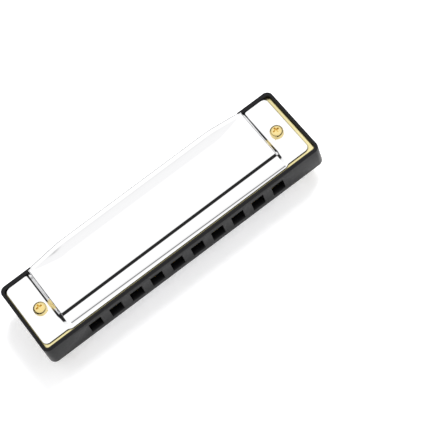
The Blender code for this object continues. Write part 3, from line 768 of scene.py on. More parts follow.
class HARMONICA_OT_comb(bpy.types.Operator):
    """Make the moulded comb, with its rim, mouth holes and reed chambers"""

    bl_idname = "harmonica.comb"
    bl_label = "Comb"

    def execute(self, context):
        sizes = context.scene.harmonica_comb
        plastic = finish_of("moulded black abs", plastic_material)
        body = bmesh.new()
        outline = rounded_rectangle(COMB_LOW, COMB_HIGH, sizes.corner_radius)
        add_prism(body, outline, COMB_LOW.z, COMB_HIGH.z)
        comb = piece_from(body, "comb_moulding", plastic)
        self.cut_recesses(comb, sizes)
        self.cut_hollows(comb, sizes)
        self.round_comb(comb, sizes)
        seat(comb, "root", "black_plastic", "comb")
        return {"FINISHED"}

    def cut_recesses(self, comb, sizes):
        """Cuts the two shallow recesses that hold the plates."""
        rim = Vector((sizes.end_rim_width, sizes.rim_width, 0.0))
        radius = sizes.corner_radius - sizes.end_rim_width
        inner = rounded_rectangle(COMB_LOW + rim, COMB_HIGH - rim, radius)
        recesses = bmesh.new()
        web = sizes.web_height / 2
        add_prism(recesses, inner, MIDDLE_Z + web, COMB_HIGH.z + sizes.rim_width)
        add_prism(recesses, inner, COMB_LOW.z - sizes.rim_width, MIDDLE_Z - web)
        subtract(comb, recesses)

    def cut_hollows(self, comb, sizes):
        """Cuts the chambers and the holes for the screws and pins."""
        hollows = bmesh.new()
        for name in numbered("blow_reed"):
            self.add_chamber(hollows, name, sizes)
        reeds = bpy.context.scene.harmonica_reed
        screws = bpy.context.scene.harmonica_screw
        web = sizes.web_height / 2
        for name in ("left_cover_screw", "right_cover_screw"):
            outline = circle(node_centre(name), screws.shank_radius + 0.15 * MM)
            add_prism(hollows, outline, MIDDLE_Z - 2 * web, MIDDLE_Z + 2 * web)
        for side in ("upper", "lower"):
            for number in range(1, 5):
                name = f"{side}_plate_pin_{number}"
                low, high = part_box(name)
                outline = circle(node_centre(name), reeds.rivet_radius + RIVET_CLEARANCE)
                add_prism(hollows, outline, low.z - 0.02 * MM, high.z + 0.02 * MM)
        subtract(comb, hollows)

    def add_chamber(self, shape, reed, sizes):
        """Mouth hole and the taller chamber behind it."""
        low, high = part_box(reed)
        middle = (low.x + high.x) / 2
        mouth = sizes.web_height / 2 - sizes.hole_lip
        tall = sizes.web_height / 2 + 0.4 * MM
        outside = COMB_LOW.y - sizes.rim_width
        start = COMB_LOW.y + sizes.rim_width + sizes.front_land
        end = high.y + sizes.chamber_end_gap
        section = [
            (outside, -mouth), (start, -mouth), (start, -tall), (end, -tall),
            (end, tall), (start, tall), (start, mouth), (outside, mouth),
        ]
        half = sizes.hole_width / 2
        left = [shape.verts.new((middle - half, y, MIDDLE_Z + z)) for y, z in section]
        right = [shape.verts.new((middle + half, y, MIDDLE_Z + z)) for y, z in section]
        shape.faces.new(left)
        shape.faces.new(right[::-1])
        for place in range(len(section)):
            after = (place + 1) % len(section)
            shape.faces.new((left[place], left[after], right[after], right[place]))

    def round_comb(self, comb, sizes):
        """Rounds the rim's outer and inner edges and the front edges of the mouth holes."""
        near = 0.01 * MM
        inner_x = COMB_HIGH.x - sizes.end_rim_width
        inner_y = COMB_HIGH.y - sizes.rim_width

        def on_face(a, b):
            level = a.z if abs(a.z - b.z) < near else 0.0
            return min(abs(level - COMB_LOW.z), abs(level - COMB_HIGH.z)) < near

        def outside(point):
            return abs(point.x) > inner_x + near or abs(point.y) > inner_y + near

        def outer(a, b):
            return on_face(a, b) and outside(a) and outside(b)

        def inner(a, b):
            return on_face(a, b) and not (outside(a) and outside(b))

        def mouth(a, b):
            at_front = abs(a.y - COMB_LOW.y) < near and abs(b.y - COMB_LOW.y) < near
            clear = max(abs(a.z - MIDDLE_Z), abs(b.z - MIDDLE_Z)) < sizes.web_height / 2
            return at_front and clear

        round_edges(comb, inner, sizes.inner_rounding, 2)
        round_edges(comb, mouth, sizes.inner_rounding, 2)
        round_edges(comb, outer, sizes.outer_rounding, 4)


class HARMONICA_OT_plates(bpy.types.Operator):
    """Make the two brass reed plates"""

    bl_idname = "harmonica.plates"
    bl_label = "Reed plates"

    def execute(self, context):
        for side, kind in (("upper", "blow"), ("lower", "draw")):
            self.make_plate(side, kind)
        return {"FINISHED"}

    def make_plate(self, side, kind):
        """One plate with a slot under each tongue."""
        comb = bpy.context.scene.harmonica_comb
        reeds = bpy.context.scene.harmonica_reed
        node = f"{side}_reed_plate"
        low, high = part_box(node)
        body = bmesh.new()
        margin = comb.corner_radius - (low.x - COMB_LOW.x)
        add_prism(body, rounded_rectangle(low, high, margin, 8), low.z, high.z)
        plate = piece_from(body, f"{side}_plate", finish_of("rolled brass plate", plate_material))
        openings = bmesh.new()
        beyond = high.z - low.z
        for number in range(1, HOLES + 1):
            reed = f"{kind}_reed_{number:02d}"
            rivet = node_centre(f"{kind}_rivet_{number:02d}")
            self.add_slot(openings, reed, rivet, low.z - beyond, high.z + beyond)
            outline = circle(rivet, reeds.rivet_radius + RIVET_CLEARANCE, 16)
            add_prism(openings, outline, low.z - beyond, high.z + beyond)
        for number in range(1, 5):
            pin = node_centre(f"{side}_plate_pin_{number}")
            outline = circle(pin, reeds.rivet_radius + RIVET_CLEARANCE, 16)
            add_prism(openings, outline, low.z - beyond, high.z + beyond)
        for name in ("left_cover_screw", "right_cover_screw"):
            radius = bpy.context.scene.harmonica_screw.shank_radius + SCREW_CLEARANCE
            outline = circle(node_centre(name), radius)
            add_prism(openings, outline, low.z - beyond, high.z + beyond)
        subtract(plate, openings)
        face = high.z if side == "upper" else low.z
        near = 0.01 * MM

        def outer(a, b):
            level = abs(a.z - face) < near and abs(b.z - face) < near
            return level and all(
                min(abs(abs(p.x) - high.x), abs(abs(p.y) - high.y)) < margin for p in (a, b)
            )

        round_edges(plate, outer, 0.1 * MM, 2)
        seat(plate, "root", "plate_brass", node)

    def add_slot(self, shape, reed, rivet, low_z, high_z):
        """Slot for one tongue, from just past the pad to just past the tip."""
        reeds = bpy.context.scene.harmonica_reed
        low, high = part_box(reed)
        half = reeds.tongue_width / 2 + reeds.slot_gap
        middle = (low.x + high.x) / 2
        pad = reeds.pad_length / 2 + reeds.slot_end_gap
        if high.y - rivet.y > rivet.y - low.y:
            start, end = rivet.y + pad, high.y + reeds.slot_end_gap
        else:
            start, end = low.y - reeds.slot_end_gap, rivet.y - pad
        add_prism(shape, rectangle(middle - half, start, middle + half, end), low_z, high_z)


def ease(low, high, value):
    """Smooth step from 0 at low to 1 at high."""
    share = min(max((value - low) / (high - low), 0.0), 1.0)
    return share * share * (3 - 2 * share)


def filleted(corners, radii, steps):
    """Line through the corners, with a bend of the given radius at each inner one."""
    line = [Vector(corners[0])]
    for before, corner, after, radius in zip(corners, corners[1:], corners[2:], radii):
        corner = Vector(corner)
        back = Vector(before) - corner
        ahead = Vector(after) - corner
        shorter = min(back.length, ahead.length)
        reach = min(max(radius / math.tan(back.angle(ahead) / 2), 0.1 * shorter), 0.45 * shorter)
        start = corner + reach * back.normalized()
        finish = corner + reach * ahead.normalized()
        for step in range(steps + 1):
            share = step / steps
            line.append(start.lerp(corner, share).lerp(corner.lerp(finish, share), share))
    line.append(Vector(corners[-1]))
    return line


class CoverShape:
    """Surface of a cover above the reed plate, as (y, height) sections along X."""

    def __init__(self, sizes, comb):
        self.sizes = sizes
        self.front_y = UPPER_COVER_LOW.y + sizes.flange_inset
        self.crease_y = self.front_y + sizes.flange_depth
        self.foot_y = self.crease_y + sizes.front_depth
        self.step_y = self.foot_y + sizes.step_depth
        self.foot_height = sizes.sheet + sizes.front_rise
        self.step_height = self.foot_height + sizes.step_rise
        self.wing_back = COMB_HIGH.y - comb.rim_width - sizes.wing_back_gap
        self.wing_front = COMB_LOW.y + comb.rim_width + sizes.wing_front_gap
        self.seat_z = UPPER_COVER_LOW.z
        self.crest_height = UPPER_COVER_HIGH.z - self.seat_z
        self.fold_height = self.crest_height - sizes.crest_rise
        self.fold_y = COMB_HIGH.y - comb.rim_width - sizes.rear_gap
        self.back_y = self.fold_y - sizes.fold_radius
        self.crest_y = self.back_y - sizes.crest_depth
        self.foot_x = COMB_HIGH.x - sizes.end_land
        self.body_x = self.foot_x - sizes.end_slant

    def panel_height(self, y):
        """Height of the main panel, which rises evenly to the fold."""
        share = (y - self.step_y) / (self.fold_y - self.step_y)
        return self.step_height + (self.fold_height - self.step_height) * share

    def crest_lift(self, x):
        """Share of the crest's rise at one place, even at both ends and blended into the level middle."""
        end, blend = self.sizes.crest_end, self.sizes.crest_end_blend
        reach = self.body_x - abs(x)
        if reach < end - blend:
            return max(reach, 0.0) / end
        return 1 - max(end + blend - reach, 0.0) ** 2 / (4 * end * blend)

    def raised(self, x, y):
        """Height of the crest strip at a place: level in the middle, in line with the panel at the ends."""
        panel = self.panel_height(y)
        return panel + (self.crest_height - panel) * self.crest_lift(x)

    def section(self, x):
        """Section from the front edge to the start of the rear fold."""
        sizes = self.sizes
        crease_y = self.crease_y + sizes.crease_taper * x
        lifted = self.crest_lift(x)
        ramp_y = self.crest_y - sizes.ramp_depth * lifted - sizes.crest_depth * (1 - lifted)
        rise = self.raised(x, self.crest_y) - self.panel_height(self.crest_y)

        def ramp(share):
            y = ramp_y + (self.crest_y - ramp_y) * share
            return y, self.panel_height(y) + rise * share * share

        def front(share):
            sag = 4 * sizes.front_hollow * share * (1 - share)
            y = crease_y + (self.foot_y - crease_y) * share
            return y, sizes.sheet + (self.foot_height - sizes.sheet) * share - sag

        # The bend runs into the hollow panel along its tangent, a fifth of the way up.
        joined = Vector(front(0.2))
        slope = Vector(front(0.21)) - joined
        corner = Vector((joined.x - (joined.y - sizes.sheet) * slope.x / slope.y, sizes.sheet))
        line = filleted(
            [(self.front_y, sizes.sheet), corner, corner + 2 * (joined - corner)],
            (sizes.crease_radius,), sizes.bend_steps,
        )[:-1]
        line += [Vector(front(place / 20)) for place in range(4, 16)]
        line += filleted(
            [front(0.8), front(1.0), (self.step_y, self.step_height), ramp(0.0)],
            (sizes.step_foot_radius, sizes.step_top_radius), sizes.bend_steps,
        )
        steps = 10
        line += [Vector(ramp(0.9 * step / steps)) for step in range(1, steps)]
        line += filleted(
            [ramp(0.9), ramp(1.0), (self.back_y, self.raised(x, self.back_y))],
            (sizes.crest_radius,), sizes.bend_steps,
        )
        return line

    def lip(self, x):
        """Rear fold and lip at one place along the body."""
        sizes = self.sizes
        crest = self.raised(x, self.back_y)
        inner, outer = self.body_x - sizes.opening_end_inner, self.body_x - sizes.opening_end_outer
        closed = ease(inner, outer, abs(x))
        bottom = (crest - sizes.lip_height) * (1 - closed) + sizes.lip_end_height * closed
        points = []
        for step in range(1, sizes.bend_steps + 1):
            angle = 0.5 * math.pi * step / sizes.bend_steps
            points.append(Vector((
                self.back_y + sizes.fold_radius * math.sin(angle),
                crest - sizes.fold_radius * (1 - math.cos(angle)),
            )))
        start = points[-1].y
        for share in (0.5, 1.0):
            points.append(Vector((self.fold_y, start + (bottom - start) * share)))
        return points

    def wall_places(self):
        """Places across an end wall, as (distance out from the body, share of the body's height)."""
        sizes = self.sizes
        tall = self.fold_height - sizes.sheet
        corners = [(-tall, tall), (0.0, tall), (sizes.end_slant, 0.0), (sizes.end_slant + tall, 0.0)]
        radii = (sizes.wall_top_radius, sizes.wall_foot_radius)
        return [(p.x, p.y / tall) for p in filleted(corners, radii, sizes.bend_steps)[1:-1]]

    def ends(self, side):
        """Sections across an end wall, from its top to its foot, as (x, section) pairs."""
        sizes = self.sizes
        body = self.section(self.body_x)
        first, last = body[0].x, body[-1].x

        def wing_y(y, low, high):
            return low + (high - low) * (y - first) / (last - first)

        columns = []
        for out, share in self.wall_places():
            section = []
            for point in body:
                y = wing_y(point.x, self.wing_front, self.wing_back)
                rise = share * (point.y - sizes.sheet)
                section.append(Vector((point.x * share + y * (1 - share), sizes.sheet + rise)))
            columns.append((sizes.shift + side * (self.body_x + out), section))
        return columns

    def wing_outline(self, side):
        """Outer edge of a wing from front to back, with two rounded corners."""
        tip = UPPER_COVER_HIGH.x if side > 0 else -UPPER_COVER_LOW.x
        radius = self.sizes.wing_corner
        steps = 8
        points = []
        for y, quarter in ((self.wing_front + radius, -1), (self.wing_back - radius, 0)):
            for step in range(steps + 1):
                angle = 0.5 * math.pi * (quarter + step / steps)
                x = tip - radius + radius * math.cos(angle)
                points.append((side * x, y + radius * math.sin(angle)))
        return points

    def lip_places(self):
        """Places along the body where its section is drawn, from one end of the lip to the other."""
        sizes = self.sizes
        inner = self.body_x - sizes.crest_end - sizes.crest_end_blend
        outer = self.body_x + self.wall_places()[0][0] - sizes.lip_slit
        steps = 20
        right = [inner + (outer - inner) * step / steps for step in range(steps + 1)]
        middle = [inner * share for share in (-0.7, -0.35, 0.0, 0.35, 0.7)]
        return [-x for x in reversed(right)] + middle + right


class HARMONICA_OT_covers(bpy.types.Operator):
    """Make the two folded chrome covers"""

    bl_idname = "harmonica.covers"
    bl_label = "Covers"

    def execute(self, context):
        shape = CoverShape(context.scene.harmonica_cover, context.scene.harmonica_comb)
        for side, name in ((1, "upper"), (-1, "lower")):
            self.make_cover(shape, side, name)
        return {"FINISHED"}

    def make_cover(self, shape, side, name):
        """One cover: a folded sheet, thickened inwards, with screw holes and eased edges."""
        sizes = shape.sizes
        sheet = bmesh.new()
        seat_z = MIDDLE_Z + side * (shape.seat_z - MIDDLE_Z)
        places = shape.lip_places()
        columns = shape.ends(-1)[::-1]
        first = len(columns)
        columns += [(sizes.shift + x, shape.section(x)) for x in places] + shape.ends(1)
        rows = []
        for x, section in columns:
            rows.append([sheet.verts.new((x, point.x, seat_z + side * point.y)) for point in section])
        lips = []
        for x, row in zip(places, rows[first:]):
            across = sizes.shift + x
            lip = [sheet.verts.new((across, point.x, seat_z + side * point.y)) for point in shape.lip(x)]
            lips.append([row[-1]] + lip)
        for lines in (rows, lips):
            for left, right in zip(lines, lines[1:]):
                for place in range(len(left) - 1):
                    sheet.faces.new((left[place], right[place], right[place + 1], left[place + 1]))
        for end_side, foot in ((-1, rows[0]), (1, rows[-1])):
            self.fill_wing(sheet, foot, shape.wing_outline(end_side), end_side)
        if side < 0:
            bmesh.ops.reverse_faces(sheet, faces=sheet.faces)
        chrome = finish_of("polished chrome plate", chrome_material)
        cover = piece_from(sheet, f"{name}_cover_sheet", chrome)
        cover.data.materials.append(finish_of("sheared sheet edge", sheared_material))
        wall = cover.modifiers.new("sheet thickness", "SOLIDIFY")
        wall.thickness = sizes.sheet
        wall.offset = -1.0
        wall.use_even_offset = True
        wall.material_offset_rim = 1
        edges = cover.modifiers.new("eased edges", "BEVEL")
        edges.width = sizes.edge_rounding
        edges.segments = 2
        edges.limit_method = "ANGLE"
        edges.angle_limit = math.radians(50)
        edges.use_clamp_overlap = False
        # Large flat faces keep their own normals, so that they mirror flatly.
        normals = cover.modifiers.new("flat panels", "WEIGHTED_NORMAL")
        normals.keep_sharp = True
        settled(cover, math.radians(50))
        low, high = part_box(f"{name}_cover")
        if max(abs(c) for corner in cover.bound_box for c in corner) > max(high.x, -low.x) + MM:
            raise RuntimeError(f"the {name} cover's sheet folds over itself")
        seat(cover, "root", "chrome", f"{name}_cover")

    def fill_wing(self, sheet, foot, outline, side):
        """Flat wing between the foot of an end wall and its own outline, with its screw hole."""
        edge = [foot[0]] + [sheet.verts.new((x, y, foot[0].co.z)) for x, y in outline] + [foot[-1]]
        screw = node_centre("left_cover_screw" if side < 0 else "right_cover_screw")
        radius = bpy.context.scene.harmonica_screw.shank_radius + SCREW_CLEARANCE
        ring = [sheet.verts.new((x, y, foot[0].co.z)) for x, y in circle(screw, radius, 32)]
        around = [sheet.edges.new(pair) for pair in zip(edge, edge[1:])]
        around += [sheet.edges.get(pair) for pair in zip(foot, foot[1:])]
        around += [sheet.edges.new(pair) for pair in zip(ring, ring[1:] + ring[:1])]
        filled = bmesh.ops.triangle_fill(sheet, use_beauty=True, edges=around, normal=(0.0, 0.0, 1.0))
        faces = [item for item in filled["geom"] if isinstance(item, bmesh.types.BMFace)]
        bmesh.ops.reverse_faces(sheet, faces=[face for face in faces if face.normal.z < 0])


def new_tree(name, inputs):
    """Geometry tree with a mesh coming in and going out, and named inputs with their defaults."""
    tree = bpy.data.node_groups.new(name, "GeometryNodeTree")
    tree.interface.new_socket("Geometry", in_out="INPUT", socket_type="NodeSocketGeometry")
    for label, kind, default in inputs:
        socket = tree.interface.new_socket(label, in_out="INPUT", socket_type=kind)
        if default is not None:
            socket.default_value = default
    tree.interface.new_socket("Geometry", in_out="OUTPUT", socket_type="NodeSocketGeometry")
    return tree


def use_tree(piece, tree, values):
    """Puts a tree on a piece, with its inputs set by their identifiers, and turns the result into mesh."""
    modifier = piece.modifiers.new(tree.name, "NODES")
    modifier.node_group = tree
    for item in tree.interface.items_tree:
        if item.in_out == "INPUT" and item.name in values:
            modifier[item.identifier] = values[item.name]
    return settled(piece)


def turned_tree(recessed):
    """Turns a profile round Z, sets a copy on every point and, for a screw, cuts its cross recess."""
    name = "recessed turned parts" if recessed else "turned parts"
    found = bpy.data.node_groups.get(name)
    if found:
        return found
    inputs = [
        ("Profile", "NodeSocketObject", None),
        ("Segments", "NodeSocketInt", 24),
        ("Material", "NodeSocketMaterial", None),
    ]
    if recessed:
        inputs += [
            ("Recess Length", "NodeSocketFloat", 2.6 * MM),
            ("Recess Width", "NodeSocketFloat", 0.7 * MM),
            ("Recess Depth", "NodeSocketFloat", 1.0 * MM),
            ("Head Top", "NodeSocketFloat", 1.5 * MM),
        ]
    tree = new_tree(name, inputs)
    given = add_node(tree, "NodeGroupInput").outputs
    profile = add_node(tree, "GeometryNodeObjectInfo", links={"Object": given["Profile"]})
    line = add_node(tree, "GeometryNodeMeshToCurve", links={"Mesh": profile.outputs["Geometry"]})
    radius = add_node(tree, "GeometryNodeInputNamedAttribute", {"Name": "turning_radius"}, data_type="FLOAT")
    wide = add_node(
        tree, "GeometryNodeSetCurveRadius",
        links={"Curve": line.outputs["Curve"], "Radius": radius.outputs["Attribute"]},
    )
    ring = add_node(
        tree, "GeometryNodeCurvePrimitiveCircle", {"Radius": 1.0}, {"Resolution": given["Segments"]},
    )
    turned = add_node(
        tree, "GeometryNodeCurveToMesh", {"Fill Caps": True},
        {
            "Curve": wide.outputs["Curve"],
            "Profile Curve": ring.outputs["Curve"],
            "Scale": radius.outputs["Attribute"],
        },
    )
    body = turned.outputs["Mesh"]
    if recessed:
        body = add_recess(tree, given, body)
    over = add_node(tree, "GeometryNodeInputNamedAttribute", {"Name": "turned_over"}, data_type="FLOAT")
    angle = add_node(
        tree, "ShaderNodeMath", {1: math.pi}, {0: over.outputs["Attribute"]}, operation="MULTIPLY",
    )
    flip = add_node(tree, "ShaderNodeCombineXYZ", links={"X": angle.outputs["Value"]})
    copies = add_node(
        tree, "GeometryNodeInstanceOnPoints",
        links={"Points": given["Geometry"], "Instance": body, "Rotation": flip.outputs["Vector"]},
    )
    real = add_node(tree, "GeometryNodeRealizeInstances", links={"Geometry": copies.outputs["Instances"]})
    coated = add_node(
        tree, "GeometryNodeSetMaterial",
        links={"Geometry": real.outputs["Geometry"], "Material": given["Material"]},
    )
    add_node(tree, "NodeGroupOutput", links={"Geometry": coated.outputs["Geometry"]})
    return tree


def add_recess(tree, given, body):
    """Cuts two crossed, tapered bars out of the top of a turned head."""
    bars = []
    for turn in (0, 1):
        size = add_node(
            tree, "ShaderNodeCombineXYZ",
            links={
                "XY"[turn]: given["Recess Length"],
                "YX"[turn]: given["Recess Width"],
                "Z": given["Recess Depth"],
            },
        )
        bar = add_node(tree, "GeometryNodeMeshCube", links={"Size": size.outputs["Vector"]})
        bars.append(bar.outputs["Mesh"])
    both = add_node(tree, "GeometryNodeMeshBoolean", operation="UNION", solver="EXACT")
    for bar in bars:
        tree.links.new(bar, both.inputs["Mesh 2"])
    place = add_node(tree, "GeometryNodeInputPosition")
    axes = add_node(tree, "ShaderNodeSeparateXYZ", links={"Vector": place.outputs["Position"]})
    low = add_node(
        tree, "FunctionNodeCompare", {1: 0.0}, {0: axes.outputs["Z"]}, data_type="FLOAT",
        operation="LESS_THAN",
    )
    narrow = add_node(
        tree, "ShaderNodeMapRange", {"To Min": 1.0, "To Max": 0.6}, {"Value": low.outputs["Result"]},
    )
    flat = add_node(
        tree, "ShaderNodeCombineXYZ",
        {"Z": 2.0}, {"X": narrow.outputs["Result"], "Y": narrow.outputs["Result"]},
    )
    scaled = add_node(
        tree, "ShaderNodeVectorMath", links={0: place.outputs["Position"], 1: flat.outputs["Vector"]},
        operation="MULTIPLY",
    )
    lift = add_node(tree, "ShaderNodeCombineXYZ", links={"Z": given["Head Top"]})
    cutter = add_node(
        tree, "GeometryNodeSetPosition",
        links={
            "Geometry": both.outputs["Mesh"],
            "Position": scaled.outputs["Vector"],
            "Offset": lift.outputs["Vector"],
        },
    )
    cut = add_node(
        tree, "GeometryNodeMeshBoolean", links={"Mesh 1": body, "Mesh 2": cutter.outputs["Geometry"]},
        operation="DIFFERENCE", solver="EXACT",
    )
    return cut.outputs["Mesh"]


def profile_object(name, profile):
    """Upright line of points that hold the radius to turn at each height."""
    shape = bmesh.new()
    layer = shape.verts.layers.float.new("turning_radius")
    points = []
    for radius, height in profile:
        point = shape.verts.new((0.0, 0.0, height))
        point[layer] = radius
        points.append(point)
    for low, high in zip(points, points[1:]):
        shape.edges.new((low, high))
    mesh = bpy.data.meshes.new(name)
    shape.to_mesh(mesh)
    shape.free()
    made = bpy.data.objects.new(name, mesh)
    bpy.context.scene.collection.objects.link(made)
    return made


def set_turned(name, profile, places, finish, segments=24, recess=None):
    """One piece from a turned profile, copied to every (place, turned over) pair."""
    line = profile_object(name + "_profile", profile)
    shape = bmesh.new()
    layer = shape.verts.layers.float.new("turned_over")
    for place, over in places:
        point = shape.verts.new(place)
        point[layer] = 1.0 if over else 0.0
    piece = piece_from(shape, name, finish)
    values = {"Profile": line, "Segments": segments, "Material": finish}
    values.update(recess or {})
    use_tree(piece, turned_tree(bool(recess)), values)
    bpy.data.objects.remove(line, do_unlink=True)
    return piece


def dome(radius, low, high, steps=5):
    """Profile of a low dome from its rim to its middle."""
    points = []
    for step in range(steps):
        angle = 0.5 * math.pi * step / steps
        points.append((radius * math.cos(angle), low + (high - low) * math.sin(angle)))
    return points + [(0.05 * radius, high)]


class HARMONICA_OT_fixings(bpy.types.Operator):
    """Set the rivets, plate pins, cover screws and square nuts"""

    bl_idname = "harmonica.fixings"
    bl_label = "Rivets, pins, screws and nuts"

    def execute(self, context):
        brass = finish_of("bright turned brass", fixing_material)
        self.set_rivets(context.scene.harmonica_reed, brass)
        self.set_pins(context.scene.harmonica_reed, brass)
        self.set_screws(context.scene.harmonica_screw, brass)
        self.set_nuts(context.scene.harmonica_screw, brass)
        return {"FINISHED"}

    def set_rivets(self, sizes, brass):
        """The twenty reed rivets, head down."""
        low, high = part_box("blow_rivet_01")
        head = (high.x - low.x) / 2
        tall = high.z - low.z
        neck = tall - 0.35 * MM
        profile = [(sizes.rivet_radius, 0.0), (sizes.rivet_radius, neck), (head, neck)]
        profile += dome(head, tall - 0.2 * MM, tall)
        nodes = numbered("blow_rivet") + numbered("draw_rivet")
        places = [((node_centre(n).x, node_centre(n).y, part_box(n)[1].z), True) for n in nodes]
        rivets = set_turned("reed_rivets", profile, places, brass, 20)
        seat(rivets, "root", "rivet_brass", *nodes)

    def set_pins(self, sizes, brass):
        """The eight pins that hold the plates, heads outwards."""
        low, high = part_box("upper_plate_pin_1")
        head = (high.x - low.x) / 2
        tall = high.z - low.z
        profile = [(0.3 * sizes.rivet_radius, 0.0), (sizes.rivet_radius, sizes.rivet_radius)]
        profile += [(sizes.rivet_radius, tall - 0.3 * MM), (head, tall - 0.3 * MM)]
        profile += dome(head, tall - 0.2 * MM, tall)
        places, nodes = [], []
        for side in ("upper", "lower"):
            for number in range(1, 5):
                node = f"{side}_plate_pin_{number}"
                low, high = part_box(node)
                level = low.z if side == "upper" else high.z
                places.append(((node_centre(node).x, node_centre(node).y, level), side == "lower"))
                nodes.append(node)
        pins = set_turned("plate_pins", profile, places, brass, 20)
        seat(pins, "root", "rivet_brass", *nodes)

    def set_screws(self, sizes, brass):
        """The two cover screws: pan head, cross recess and threaded shank."""
        nodes = ("left_cover_screw", "right_cover_screw")
        low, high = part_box(nodes[0])
        head = (high.x - low.x) / 2
        seat_z = high.z - sizes.head_height
        shank = seat_z - low.z
        profile = [(0.4 * sizes.shank_radius, -shank)]
        turns = int(shank / sizes.thread_pitch) - 3
        for turn in range(turns):
            height = -shank + (turn + 0.9) * sizes.thread_pitch
            profile.append((sizes.shank_radius - sizes.thread_depth, height))
            profile.append((sizes.shank_radius, height + 0.5 * sizes.thread_pitch))
        last = -shank + (turns + 0.9) * sizes.thread_pitch
        profile.append((sizes.shank_radius - sizes.thread_depth, last))
        profile.append((sizes.shank_radius, -0.4 * MM))
        profile.append((sizes.shank_radius, 0.0))
        side = 0.4 * sizes.head_height
        profile += [(0.97 * head, 0.0), (head, 0.06 * MM), (head, side)]
        steps = 9
        for step in range(1, steps):
            angle = 0.5 * math.pi * step / steps
            height = side + (sizes.head_height - side) * math.sin(angle)
            profile.append((head * math.cos(angle) ** 0.62, height))
        profile.append((0.04 * head, sizes.head_height))
        places = [((node_centre(node).x, node_centre(node).y, seat_z), False) for node in nodes]
        recess = {
            "Recess Length": sizes.recess_length, "Recess Width": sizes.recess_width,
            "Recess Depth": sizes.recess_depth, "Head Top": sizes.head_height,
        }
        screws = set_turned("cover_screws", profile, places, brass, 40, recess)
        seat(screws, "root", "screw_brass", *nodes)

    def set_nuts(self, sizes, brass):
        """The two square nuts, with chamfered corners and a plain round hole."""
        nodes = ("left_square_nut", "right_square_nut")
        body = bmesh.new()
        for node in nodes:
            low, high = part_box(node)
            add_prism(body, rectangle(low.x, low.y, high.x, high.y), low.z, high.z)
        nuts = piece_from(body, "square_nuts", brass)
        holes = bmesh.new()
        for node in nodes:
            low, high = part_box(node)
            outline = circle(node_centre(node), sizes.shank_radius + 0.06 * MM, 32)
            add_prism(holes, outline, low.z - 1 * MM, high.z + 1 * MM)
        subtract(nuts, holes)
        low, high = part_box(nodes[0])
        half = (high.x - low.x) / 2
        near = 0.01 * MM

        def outer(a, b):
            corner = all(abs(abs(p.y) - half) < near for p in (a, b))
            edge = abs(a.z - low.z) < near and abs(b.z - low.z) < near
            on_side = all(
                max(abs(abs(p.x) - abs(node_centre(nodes[0]).x)), abs(p.y)) > half - near for p in (a, b)
            )
            return on_side and (edge or (corner and abs(a.z - b.z) > near))

        round_edges(nuts, outer, sizes.nut_chamfer, 2)
        seat(nuts, "root", "screw_brass", *nodes)


